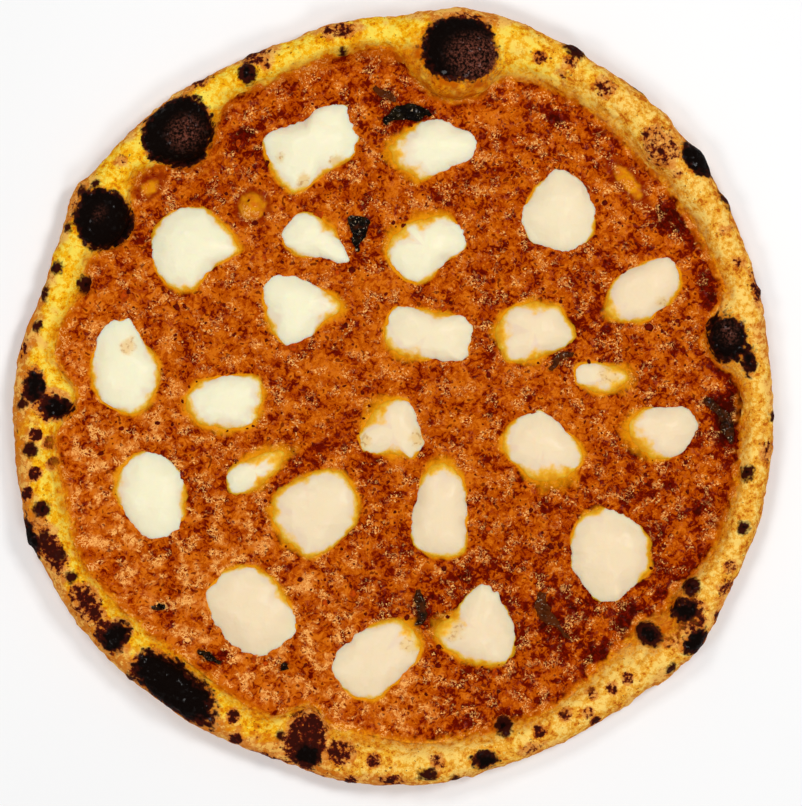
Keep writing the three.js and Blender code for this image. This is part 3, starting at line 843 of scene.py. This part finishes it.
class PIZZA_OT_crust(bpy.types.Operator):
    """Make the dough's baked skin, with lumps, bubbles, burnt blisters and freckles"""

    bl_idname = "pizza.crust"
    bl_label = "Crust"

    def execute(self, context):
        crust = context.scene.pizza_crust
        centre = reading_centre(context)
        angles = np.linspace(0, TAU, crust.columns, endpoint=False)
        edge = sauce_edge(centre, angles)
        radius, height, run = self.section(crust, centre, angles, edge)
        turn = np.repeat(angles[:, None], crust.steps, axis=1)
        points = np.stack((radius * np.cos(turn), radius * np.sin(turn), height), axis=2)
        crest = np.argmax(height, axis=1)
        crest_run = np.take_along_axis(run, crest[:, None], axis=1)
        inner_run = np.array([
            np.interp(reach, out[:top], along[:top])
            for reach, out, along, top in zip(edge, radius, run, crest)
        ])
        climb = (run - inner_run[:, None]).ravel() / MM
        past_crest = (run - crest_run).ravel() / MM
        fields = self.spots(crust, turn.ravel(), radius.ravel(), climb, past_crest)
        solid = points.reshape(-1, 3)
        skin = np.column_stack((turn.ravel() * radius.mean(), run.ravel()))
        to_end = (run[:, -1:] - run).ravel()
        # The relief fades out at the sauce's edge and towards the end of the underside
        fade = smooth_step(climb, -2.5, 3) * smooth_step(to_end, 5 * MM, 11 * MM)
        lift = fade * self.relief(crust, solid, skin, fields)
        solid = solid + grid_normals(points).reshape(-1, 3) * lift[:, None]
        solid[:, 2] = np.maximum(solid[:, 2], 0)
        solid[crust.steps - 1::crust.steps, 2] = 0
        solid = np.vstack((solid, (0, 0, height[:, 0].mean()), (0, 0, 0))) + np.array(centre)
        faces = closed_faces(crust.columns, crust.steps)
        fields = {name: np.append(values, (OUTSIDE, OUTSIDE)) for name, values in fields.items()}
        material = crust_material(crust, context.scene.pizza_sauce)
        settle(new_piece("crust", solid, faces, fields, material), "crust", "dough")
        return {"FINISHED"}

    def section(self, crust, centre, angles, edge):
        """Radius, height and distance run by column and step, with the solid's flat faces rounded off."""
        (radius, height), run = even_steps(rim_profiles(centre, angles, edge), crust.steps)
        along = TAU * radius.mean() / crust.columns
        across = run[:, -1].mean() / crust.steps
        for axis, spread in enumerate((crust.soften_along / along, crust.soften_across / across)):
            radius = blur(radius, spread, axis, axis == 0)
            height = blur(height, spread, axis, axis == 0)
        return radius, height, run

    def spots(self, crust, turn, radius, climb, past_crest):
        """Depth inside the burnt spots, how browned the rim is, and where it is dry, outermost or soaked."""
        below = np.maximum(past_crest - SPOTS_END, 0)
        flat = np.column_stack((radius * np.cos(turn), radius * np.sin(turn)))
        wander = crust.wander / MM * soft_noise(flat, 8 * MM, seed=31)
        burnt = rim_depth(turn, radius, CHAR) - below + wander
        browned = capped(rim_depth(turn, radius, BROWNED) - below, margin=1.6, most=3.9)
        browned = np.maximum(browned, capped(burnt, margin=2, most=2))
        freckled = capped(rim_depth(turn, radius, FRECKLES) - below, margin=0.6, most=1.6)
        moist = moist_share(turn)
        foot = np.minimum(rim_depth(turn, radius, SOAKED), SOAKED_MOST)
        toasted = towards(turn, 215, full=0.6, gone=1.2)
        outermost = smooth_step(past_crest, 1, 8)
        clean = moist * np.clip(1 - browned - freckled, 0, 1)
        # Bread is lighter the higher this is, and its leopard spots come out as it falls
        bake = 0.105 + 0.06 * clean - 0.1 * toasted - 0.025 * (1 + toasted) * outermost
        return {
            "char_depth": burnt,
            "small_depth": rim_depth(turn, radius, SMALL_CHAR) - below,
            "ash": rim_depth(turn, radius, ASH),
            "bake": bake - 0.075 * browned - 0.2 * freckled,
            "dry": 0.8 - 1.6 * moist,
            "outer": past_crest - 8 + 8 * toasted,
            "soak": np.maximum(soak_depth(turn, climb), foot),
        }

    def relief(self, crust, solid, skin, fields):
        """How far each place on the skin stands out."""
        burnt = smooth_step(fields["char_depth"], -0.5, 1.5)
        lumps = soft_noise(solid, 13 * MM, seed=1) + 0.6 * soft_noise(solid, 6 * MM, seed=2)
        bready = crust.bubble * domes(skin, 10 * MM, chance=0.4, seed=3)
        bready += crust.pimple * domes(skin, 4.5 * MM, chance=0.5, seed=5)
        bready += crust.grain * layered_noise(solid, 1.9 * MM, seed=4, layers=2)
        crackle = crust.crackle * layered_noise(solid, 2.2 * MM, seed=6, layers=2)
        blisters = crust.blister * smooth_step(fields["small_depth"], -0.8, 1.6)
        return crust.lump * lumps + bready * (1 - burnt) + crackle * burnt + blisters


# Sauce

def bubbled(shading, sauce, base):
    """Sauce with its few large bubbles: a dark ring round a thin, light skin."""
    depth = shading.field("bubble_depth")
    ring = shading.mask(shading.plus(depth, 2.0), size=4.0, ragged=1.0, softness=1.0)
    base = shading.mix(shading.times(ring, 0.8), base, sauce.hollow)
    dome = shading.mask(shading.plus(depth, -0.3), size=4.0, ragged=0.8, softness=1.0)
    return shading.mix(dome, base, shading.tint(sauce.blown, sauce.golden, size=3.0, spread=0.2))


def sparkling(shading, curdled):
    """Mask of painted highlights: fine grains and curls of cream that stand in for glints, in clusters."""
    fine = shading.rise(shading.noise(0.8, detail=1.0), 0.59, 0.67)
    swirl = shading.math("ABSOLUTE", shading.plus(shading.noise(3.6, detail=2.0, curl=1.5), -0.5))
    creamed = shading.rise(curdled, 0.0, 1.0, bottom=0.45)
    curls = shading.times(shading.rise(swirl, 0.04, 0.012), creamed)
    cluster = shading.rise(shading.noise(6.0, detail=4.0, roughness=0.55), 0.5, 0.6)
    return shading.times(shading.most(fine, curls), cluster)


def sauce_material(sauce, cheese, crust):
    """Grainy sauce with split cream and dark pits, soaked into the rim and milky round the cheese."""
    material, shading, surface = new_material("vodka_sauce", {
        "Specular IOR Level": 0.0, "Coat Weight": 0.02, "Coat Roughness": 0.15,
    })
    curdled = shading.field("curdled")
    split = shading.times(shading.rise(shading.noise(6.0, detail=4.0), 0.44, 0.64, top=0.6), curdled)
    base = shading.tint(sauce.orange, sauce.creamy, size=8.0, spread=0.2)
    patch = shading.scaled(shading.noise(7.0, detail=4.0), 0.44, -0.228)
    # In split cream the light grains take the painted highlight colour
    grain = shading.group(
        broken_grain(), Base=shading.mix(split, base, sauce.curdled),
        Light=shading.mix(split, sauce.golden, sauce.sparkle), Dark=sauce.hollow,
        Size=2.2, Roughness=0.66, Curl=0.7, Shift=shading.plus(patch, shading.field("shade")),
    )
    cooked = shading.rise(grain["Height"], 0.43, 0.35)
    base = shading.mix(cooked, grain["Color"], sauce.pit)
    scum = shading.rise(grain["Height"], 0.32, 0.22, top=0.9)
    base = shading.mix(scum, base, sauce.stain)
    dots = shading.rise(shading.noise(2.2, detail=1.0), 0.65, 0.71, top=0.85)
    base = bubbled(shading, sauce, shading.mix(dots, base, sauce.pit))
    border = shading.mask(shading.field("border"), size=6.0, ragged=3.2, softness=1.4)
    base = shading.mix(border, base, soaked(shading, crust, sauce, crust.straw))
    # Painted highlights: glints mixed into the sauce's base colour
    base = shading.mix(sparkling(shading, curdled), base, sauce.sparkle)
    milk = shading.plus(shading.field("milk"), -0.5)
    milky = shading.mask(milk, size=3.5, ragged=0.4, softness=0.8)
    shading.feed(surface, {
        "Base Color": shading.mix(shading.times(milky, 0.85), base, cheese.soaked),
        "Roughness": shading.rise(shading.noise(5.0), 0.35, 0.65, top=0.5, bottom=0.25),
        "Normal": shading.bump(grain["Height"], 0.5 * MM),
    })
    return material


def disc_grid(cells):
    """Corners of a square grid bent into a disc: share of the radius and angle of each."""
    line = np.linspace(-1, 1, cells + 1)
    across, along = (part.ravel() for part in np.meshgrid(line, line, indexing="ij"))
    wide = np.abs(across) > np.abs(along)
    share = np.where(wide, across, along)
    safe = np.where(share == 0, 1, share)
    slant = np.where(wide, along, across) / safe * math.pi / 4
    angle = np.where(wide, slant, math.pi / 2 - slant)
    angle = np.where(share < 0, angle + math.pi, angle) % TAU
    return np.abs(share), angle


class PIZZA_OT_sauce(bpy.types.Operator):
    """Make the grainy sauce from the dough's middle out to the rim"""

    bl_idname = "pizza.sauce"
    bl_label = "Sauce"

    def execute(self, context):
        sauce = context.scene.pizza_sauce
        cheese = context.scene.pizza_cheese
        centre = reading_centre(context)
        share, angle = disc_grid(sauce.cells)
        samples = np.linspace(0, TAU, sauce.edge_samples, endpoint=False)
        edge = np.interp(angle, samples, sauce_edge(centre, samples), period=TAU)
        radius = share * (edge + sauce.overrun)
        points, level = self.sheet(sauce, centre, angle, radius, edge)
        flat = points[:, :2]
        milk, covered = self.milk(cheese, flat + np.array(centre)[:2])
        bubble = flat_depth(flat, BUBBLES)
        lumps, grain = self.relief(sauce, flat)
        swell = sauce.bubble * smooth_step(bubble, -0.5, 4)
        points[:, 2] += (lumps + grain) * (1 - 0.7 * covered) + swell - sauce.press * covered
        burnt = rim_depth(angle, radius, CHAR + SMALL_CHAR)
        points[:, 2] -= sauce.duck * smooth_step(burnt, -1.5, 0.5)
        border = (radius - edge) / MM
        dried = smooth_step(border, -6, -1) * towards(angle, -15, full=1.1, gone=1.9)
        stained = capped(rim_depth(angle, radius, STAINS), margin=1.5, most=4)
        curdled = smooth_step(-flat.sum(axis=1), 50 * MM, 150 * MM)
        shade = self.shade(flat) + 0.015 * curdled + 0.04 * lumps / sauce.lump
        fields = {
            "milk": milk,
            "bubble_depth": bubble,
            "border": border,
            "soak": soak_depth(angle, 1.3 * border),
            "shade": shade - 0.05 * stained - 0.06 * dried,
            "curdled": curdled,
        }
        points, faces = self.close(points, sauce.cells + 1, level - sauce.skirt)
        spare = np.full(len(points) - len(flat), OUTSIDE)
        fields = {name: np.append(values, spare) for name, values in fields.items()}
        material = sauce_material(sauce, cheese, context.scene.pizza_crust)
        piece = new_piece("sauce", points + np.array(centre), faces, fields, material)
        settle(piece, "sauce", "vodka_sauce")
        return {"FINISHED"}

    def sheet(self, sauce, centre, angle, radius, edge):
        """The smooth top, lying on its solid and as a film on the rim, and the level in its middle."""
        just_inside = 0.995
        soften_cells = 1.2
        tree = solid_tree("vodka_sauce")
        bread = piece_tree("crust")
        level = drop(tree, centre.x, centre.y)
        middle = np.array(centre)[:2]
        around = np.column_stack((np.cos(angle), np.sin(angle)))
        known = np.minimum(radius, just_inside * edge)
        height = np.array([drop(tree, x, y, level) for x, y in known[:, None] * around + middle])
        for corner in np.flatnonzero(radius > edge - sauce.overrun):
            x, y = radius[corner] * around[corner] + middle
            height[corner] = max(height[corner], drop(bread, x, y) + sauce.film)
        height = height.reshape(sauce.cells + 1, sauce.cells + 1)
        for axis in (0, 1):
            height = blur(height, soften_cells, axis, False)
        return np.column_stack((radius[:, None] * around, height.ravel())), level

    def milk(self, cheese, flat):
        """Share of melted cheese, from 1 at a chunk's shore to 0, and how far a chunk covers the sauce."""
        milk = np.full(len(flat), OUTSIDE)
        covered = np.zeros(len(flat))
        for index, node in enumerate(nodes_named("mozzarella")):
            middle, angles, reach, width = chunk_outline(cheese, node, index)
            east, north = (flat - np.array(middle)[:2]).T
            turn = np.arctan2(north, east) % TAU
            gap = np.hypot(east, north) - np.interp(turn, angles, reach, period=TAU)
            melted = np.interp(turn, angles, width, period=TAU)
            spread = np.maximum(0.9 * melted - 2 * cheese.least_melt, 0.1 * MM)
            # Where the melted edge is narrower than the shore, the milk ends under the chunk
            milk = np.maximum(milk, 1 - (gap + 2 * np.maximum(cheese.shore - melted, 0)) / spread)
            covered = np.maximum(covered, smooth_step(-gap, 0.4 * MM, 2.4 * MM))
        return milk, covered

    def relief(self, sauce, flat):
        """Heights of the lumps and of the grain; lumps of tomato lie thickest on the left."""
        chunky = smooth_step(-flat[:, 0], -40 * MM, 90 * MM)
        lumps = 0.9 * soft_noise(flat, 38 * MM, seed=21) + 0.9 * soft_noise(flat, 9 * MM, seed=22)
        lumps += soft_noise(flat, 3.4 * MM, seed=23)
        lumps += (0.4 + 1.6 * chunky) * domes(flat, 6.5 * MM, chance=0.45, seed=24)
        return sauce.lump * lumps, sauce.grain * layered_noise(flat, 1.7 * MM, seed=25, layers=2)

    def shade(self, flat):
        """How light the sauce is: darker on the right, low down and at the basil."""
        east, north = flat.T
        shade = -0.04 * smooth_step(east - 0.5 * north, 30 * MM, 120 * MM)
        shade -= 0.04 * smooth_step(np.hypot(east - 15 * MM, north + 72 * MM), 45 * MM, 10 * MM)
        for node in nodes_named("basil"):
            low, high = (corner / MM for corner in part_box(node))
            spot = (*((low + high) / 2).xy, *((high - low) / 2).xy, 0)
            shade -= 0.025 * capped(flat_depth(flat, (spot,)), margin=3, most=3)
        return shade

    def close(self, points, side, floor):
        """The sheet of sauce closed by a skirt and an underside hidden in the dough."""
        numbers = np.arange(side * side).reshape(side, side)
        rim = [*numbers[:-1, 0], *numbers[-1, :-1], *numbers[:0:-1, -1], *numbers[0, :0:-1]]
        rim = [int(corner) for corner in rim]
        corners = (numbers[:-1, :-1], numbers[1:, :-1], numbers[1:, 1:], numbers[:-1, 1:])
        faces = np.stack([part.ravel() for part in corners], axis=1).tolist()
        skirt = points[rim] * (1, 1, 0) + (0, 0, floor)
        skirt_ring = list(range(len(points), len(points) + len(rim)))
        points = np.vstack((points, skirt, (0, 0, floor)))
        faces += band_faces(rim, skirt_ring) + fan_faces(len(points) - 1, skirt_ring[::-1])
        return points, faces


# Mozzarella

def cheese_material(cheese):
    """White mozzarella, warm or clear in places, that melts into the sauce at its edge."""
    material, shading, surface = new_material("mozzarella", {
        "Subsurface Weight": 0.7, "Subsurface Radius": (1.0, 0.75, 0.45), "Subsurface Scale": 3 * MM,
        "Specular IOR Level": 0.1, "Coat Weight": 0.1, "Coat Roughness": 0.2,
    })
    melt = shading.field("melt")
    base = shading.mix(shading.field("warmth"), cheese.white, cheese.warm)
    blush = shading.mask(shading.plus(melt, 0.9), size=7.0, ragged=1.2, softness=1.0)
    base = shading.mix(shading.times(blush, 0.4), base, cheese.blush)
    clear = shading.mask(shading.field("clear_depth"), size=3.0, ragged=1.2, softness=1.5)
    base = shading.mix(shading.times(clear, 0.8), base, cheese.clear)
    dots = shading.rise(shading.noise(1.6, detail=2.0), 0.52, 0.7, top=0.8)
    base = shading.mix(shading.times(clear, dots), base, cheese.crisp)
    for start, tint in ((0.1, cheese.butter), (0.7, cheese.soaked)):
        melted = shading.mask(shading.plus(melt, -start), size=3.0, ragged=0.5, softness=0.6)
        base = shading.mix(melted, base, tint)
    shading.feed(surface, {
        "Base Color": base,
        "Roughness": shading.rise(shading.noise(5.0), 0.35, 0.65, top=0.5, bottom=0.35),
        "Normal": shading.bump(shading.noise(2.6), 0.25 * MM),
    })
    return material


def chunk_outline(cheese, node, index):
    """A chunk's middle, and at even angles round it the reach of its torn outline and its melted width."""
    height_shares = (0.1, 0.24, 0.4)
    soften_steps = 1.2
    bulge_turn = 0.7
    uneven = 0.6
    low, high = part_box(node)
    corners = np.array([vertex.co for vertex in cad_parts[node].data.vertices])
    middle = Vector((*corners.mean(axis=0)[:2], 0))
    angles = np.linspace(0, TAU, cheese.sides, endpoint=False)
    heights = [low.z + share * (high.z - low.z) for share in height_shares]
    reach = edge_reach(solid_tree(node), middle, angles, heights, far=0.06)
    reach = blur(reach, soften_steps, 0, True)
    outline = np.column_stack((reach * np.cos(angles), reach * np.sin(angles)))
    reach = reach + cheese.ragged * layered_noise(outline, 5 * MM, seed=140 + index)
    width, bulges = FRINGES[index]
    melted = np.full(len(angles), width)
    for degrees, extra in bulges:
        melted += extra * np.exp(-((turned_by(angles, degrees) / bulge_turn) ** 2))
    melted *= 1 + uneven * layered_noise(outline, 7 * MM, seed=70 + index, layers=2)
    return middle, angles, reach, np.maximum(melted * MM, cheese.least_melt)


class PIZZA_OT_cheese(bpy.types.Operator):
    """Make the torn chunks of mozzarella with their melted edges"""

    bl_idname = "pizza.cheese"
    bl_label = "Mozzarella"

    def execute(self, context):
        cheese = context.scene.pizza_cheese
        material = cheese_material(cheese)
        for index, node in enumerate(nodes_named("mozzarella")):
            self.chunk(cheese, node, index, material, reading_centre(context))
        return {"FINISHED"}

    def chunk(self, cheese, node, index, material, centre):
        """One chunk: a low dome that runs on under the sauce, closed below."""
        ring_power = 0.8
        dome_power = 2.2
        low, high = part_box(node)
        middle, angles, reach, width = chunk_outline(cheese, node, index)
        radius = (reach + cheese.hem)[:, None] * np.linspace(0, 1, cheese.rings + 1)[1:] ** ring_power
        inset = reach[:, None] - radius
        share = radius / reach[:, None]
        # The dome follows a rounded outline in its middle and the torn one at its edge
        rounded = radius / blur(reach, cheese.sides / 16, 0, True)[:, None]
        share = rounded + (share - rounded) * smooth_step(share, 0.3, 0.95)
        rise = (high.z - low.z + cheese.dip) * (1 - share ** dome_power) - cheese.dip
        turn = np.repeat(angles[:, None], cheese.rings, axis=1)
        points = np.stack((radius * np.cos(turn), radius * np.sin(turn), rise), axis=2).reshape(-1, 3)
        flat = points[:, :2] + np.array(middle)[:2]
        lumps = soft_noise(flat, 8 * MM, seed=51) + 0.4 * soft_noise(flat, 3.5 * MM, seed=52)
        points[:, 2] += cheese.lump * lumps * smooth_step(inset.ravel(), 0, 3 * MM)
        crown = points[::cheese.rings, 2].mean()
        points = np.vstack((points, (0, 0, crown), (0, 0, -cheese.sink)))
        points += (middle.x, middle.y, low.z)
        shore = np.minimum(width, 1.25 * cheese.shore) - cheese.shore
        melt = 1 - (inset - shore[:, None]) / width[:, None]
        fields = {
            "melt": np.append(melt.ravel(), (OUTSIDE, 1)),
            "clear_depth": flat_depth(points[:, :2] - np.array(centre)[:2], CLEAR),
            "warmth": np.full(len(points), smooth_step(middle.x - middle.y, -65 * MM, 28 * MM)),
        }
        faces = closed_faces(cheese.sides, cheese.rings)
        piece = new_piece(f"cheese_{index + 1:02d}", points, faces, fields, material)
        settle(piece, "mozzarella", node)


# Basil

def basil_material(basil):
    """Burnt leaf, green or brown in places, with painted highlights on its creases."""
    material, shading, surface = new_material("burnt_basil", {
        "Specular IOR Level": 0.02, "Coat Roughness": 0.12,
    })
    burnt = shading.tint(basil.leaf, basil.green, size=3.0, spread=0.1, middle=0.54)
    uneven = shading.scaled(shading.noise(2.4), 1.4, -0.7)
    brown = shading.rise(shading.plus(shading.field("brown"), uneven), 0.2, 0.9)
    base = shading.mix(brown, burnt, basil.brown)
    # Painted highlights: streaks of glint colour mixed into the leaf's base colour
    painted_glint_mask = shading.rise(shading.noise(1.8, detail=2.0, curl=2.0), 0.63, 0.73, top=0.7)
    shading.feed(surface, {
        "Base Color": shading.mix(painted_glint_mask, base, basil.glint),
        "Roughness": shading.rise(shading.noise(2.0), 0.35, 0.65, top=0.6, bottom=0.35),
        "Coat Weight": shading.rise(shading.noise(2.0), 0.54, 0.66, top=0.3),
        "Normal": shading.bump(shading.noise(1.4), 0.5 * MM),
    })
    return material


class PIZZA_OT_basil(bpy.types.Operator):
    """Make the crumpled scraps of burnt basil"""

    bl_idname = "pizza.basil"
    bl_label = "Basil"

    def execute(self, context):
        basil = context.scene.pizza_basil
        material = basil_material(basil)
        for index, node in enumerate(nodes_named("basil")):
            self.leaf(context, basil, node, index, material)
        return {"FINISHED"}

    def leaf(self, context, basil, node, index, material):
        """One scrap: its solid with the corners that meet joined, split finer, crumpled and frayed."""
        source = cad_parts[node].data
        places = {}
        corners = (tuple(round(part, 7) for part in vertex.co) for vertex in source.vertices)
        numbers = [places.setdefault(corner, len(places)) for corner in corners]
        faces = [[numbers[corner] for corner in face.vertices] for face in source.polygons]
        piece = new_piece(f"leaf_{index + 1:02d}", list(places), faces, {}, material)
        split = piece.modifiers.new("split", "SUBSURF")
        split.levels = basil.levels
        split.render_levels = basil.levels
        context.view_layer.update()
        fine = bpy.data.meshes.new_from_object(piece.evaluated_get(context.evaluated_depsgraph_get()))
        piece.modifiers.clear()
        piece.data = fine
        points = np.zeros(3 * len(fine.vertices))
        fine.vertices.foreach_get("co", points)
        points = points.reshape(-1, 3)
        flat = points[:, :2].copy()
        points[:, 2] += basil.crumple * layered_noise(flat, 2.2 * MM, seed=60 + index, layers=2)
        for axis, seed in enumerate((80, 100)):
            points[:, axis] += basil.fray * layered_noise(flat, 3 * MM, seed=seed + index, layers=2)
        fine.vertices.foreach_set("co", points.ravel())
        set_field(fine, "brown", np.full(len(points), BASIL_BROWN[index]))
        fine.shade_smooth()
        fine.update()
        settle(piece, "basil", node)


# Flecks

def fleck_material(name, base_colour):
    """One colour, darker in places."""
    material, shading, surface = new_material(name, {"Roughness": 0.4, "Specular IOR Level": 0.03})
    deep = tuple(0.5 * part for part in base_colour)
    shading.feed(surface, {
        "Base Color": shading.tint(base_colour, deep, size=1.5, spread=0.15),
        "Normal": shading.bump(shading.noise(0.8), 0.25 * MM),
    })
    return material


class PIZZA_OT_flecks(bpy.types.Operator):
    """Scatter burnt herb and bits of tomato over the sauce"""

    bl_idname = "pizza.flecks"
    bl_label = "Flecks"

    def execute(self, context):
        flecks = context.scene.pizza_flecks
        self.ground = piece_tree("sauce")
        self.cover = solid_tree(*nodes_named("mozzarella"), *nodes_named("basil"))
        self.centre = reading_centre(context)
        draws = np.random.default_rng(context.scene.pizza.seed)
        herb_rise = 0.3
        tomato_rise = 0.2
        kinds = (
            ("herb_flecks", "basil", flecks.herb_count, flecks.herb_size, herb_rise, flecks.herb),
            ("tomato_flecks", "sauce", flecks.tomato_count, flecks.tomato_size, tomato_rise, flecks.tomato),
        )
        for name, slot, count, size, rise, tint in kinds:
            points, faces = self.scatter(draws, count, size, rise, flecks.spread)
            settle(new_piece(name, points, faces, {}, fleck_material(name, tint)), slot)
        return {"FINISHED"}

    def scatter(self, draws, count, size, rise, spread):
        """Chips of uneven size on bare sauce; rise is their height as a share of their half-width."""
        points = []
        faces = []
        made = 0
        while made < count:
            place = self.centre + outward(TAU * draws.random()) * spread * math.sqrt(draws.random())
            if drop(self.cover, place.x, place.y) > 0:
                continue
            place.z = drop(self.ground, place.x, place.y)
            corners, sides = self.chip(draws, place, size * draws.lognormal(0, 0.4), rise)
            faces += [[len(points) + corner for corner in side] for side in sides]
            points += corners
            made += 1
        return points, faces

    def chip(self, draws, place, half, rise):
        """A low lumpy dome on a sunk base, about a place on the sauce."""
        sides = 8
        sunk = -0.5
        crown = 1.1
        rings = ((1, sunk), (0.95, 0.4 * rise), (0.55, rise))
        stretch = draws.uniform(0.5, 1)
        spin = outward(TAU * draws.random())
        points = []
        for reach, lift in rings:
            for side in range(sides):
                turn = TAU * side / sides
                far = half * reach * draws.uniform(0.7, 1.25)
                x = far * math.cos(turn)
                y = far * stretch * math.sin(turn)
                z = place.z + half * lift * draws.uniform(0.7, 1.1)
                points.append((place.x + x * spin.x - y * spin.y, place.y + x * spin.y + y * spin.x, z))
        top = len(points)
        points.append((place.x, place.y, place.z + half * crown * rise))
        points.append((place.x, place.y, place.z + half * sunk))
        numbers = [list(range(start, start + sides)) for start in range(0, top, sides)]
        faces = []
        for lower, upper in zip(numbers, numbers[1:]):
            faces += band_faces(upper, lower)
        faces += fan_faces(top, numbers[-1]) + fan_faces(top + 1, numbers[0][::-1])
        return points, faces


# Stage

class PIZZA_OT_stage(bpy.types.Operator):
    """Set the pale floor, the soft lights and the camera"""

    bl_idname = "pizza.stage"
    bl_label = "Stage"

    def execute(self, context):
        stage = context.scene.pizza_stage
        self.floor(stage)
        self.lights(context, stage)
        self.camera(context, stage)
        context.scene.view_settings.view_transform = "Standard"
        return {"FINISHED"}

    def floor(self, stage):
        """A pale floor just under the pizza."""
        material, shading, surface = new_material("pale_floor", {"Roughness": 0.7})
        soft = tuple(0.96 * part for part in stage.floor)
        shading.feed(surface, {"Base Color": shading.tint(stage.floor, soft, size=400.0, spread=0.3)})
        half = 6
        below = -0.1 * MM
        points = [(x, y, below) for x, y in ((-half, -half), (half, -half), (half, half), (-half, half))]
        new_piece("floor", points, [(0, 1, 2, 3)], {}, material)

    def lights(self, context, stage):
        """Soft lights round the pizza, the first one strongest, and an even sky."""
        for index in range(stage.light_count):
            lamp = bpy.data.lights.new(f"soft_light_{index + 1}", "AREA")
            lamp.energy = stage.light_power * (stage.key_share if index == 0 else 1)
            lamp.size = stage.light_size
            light = bpy.data.objects.new(lamp.name, lamp)
            turn = outward(stage.light_turn + TAU * index / stage.light_count)
            back = turn * math.cos(stage.light_rise) + Vector((0, 0, math.sin(stage.light_rise)))
            light.location = back * stage.light_distance
            light.rotation_euler = back.to_track_quat("Z", "Y").to_euler()
            context.scene.collection.objects.link(light)
        world = bpy.data.worlds.new("soft_sky")
        world.use_nodes = True
        background = world.node_tree.nodes["Background"]
        background.inputs["Color"].default_value = (1, 1, 1, 1)
        background.inputs["Strength"].default_value = stage.sky
        context.scene.world = world

    def camera(self, context, stage):
        """A camera that looks straight down."""
        data = bpy.data.cameras.new("camera")
        distance = stage.camera_height - stage.view_plane
        data.lens = data.sensor_width * distance / stage.view_height
        camera = bpy.data.objects.new("camera", data)
        camera.location = (*stage.view_centre, stage.camera_height)
        context.scene.collection.objects.link(camera)
        context.scene.camera = camera


class PIZZA_PT_panel(bpy.types.Panel):
    """Lists the pizza's pieces in the sidebar"""

    bl_idname = "PIZZA_PT_panel"
    bl_label = "Pizza"
    bl_space_type = "VIEW_3D"
    bl_region_type = "UI"
    bl_category = "Pizza"

    def draw(self, context):
        for operator in OPERATORS:
            self.layout.operator(operator.bl_idname)


SETTINGS = {
    "pizza": PizzaSettings,
    "pizza_crust": CrustSettings,
    "pizza_sauce": SauceSettings,
    "pizza_cheese": CheeseSettings,
    "pizza_basil": BasilSettings,
    "pizza_flecks": FleckSettings,
    "pizza_stage": StageSettings,
}
OPERATORS = (
    PIZZA_OT_crust, PIZZA_OT_sauce, PIZZA_OT_cheese, PIZZA_OT_basil, PIZZA_OT_flecks, PIZZA_OT_stage,
)


def register():
    """Adds the settings, operators and panel."""
    for settings in SETTINGS.values():
        bpy.utils.register_class(settings)
    for name, settings in SETTINGS.items():
        setattr(bpy.types.Scene, name, PointerProperty(type=settings))
    for operator in OPERATORS:
        bpy.utils.register_class(operator)
    bpy.utils.register_class(PIZZA_PT_panel)


def unregister():
    """Takes them out again in the opposite order."""
    bpy.utils.unregister_class(PIZZA_PT_panel)
    for operator in reversed(OPERATORS):
        bpy.utils.unregister_class(operator)
    for name in SETTINGS:
        delattr(bpy.types.Scene, name)
    for settings in reversed(SETTINGS.values()):
        bpy.utils.unregister_class(settings)


def main():
    """Makes every piece in order."""
    register()
    bpy.ops.pizza.crust()
    bpy.ops.pizza.sauce()
    bpy.ops.pizza.cheese()
    bpy.ops.pizza.basil()
    bpy.ops.pizza.flecks()
    bpy.ops.pizza.stage()


if __name__ == "__main__":
    main()
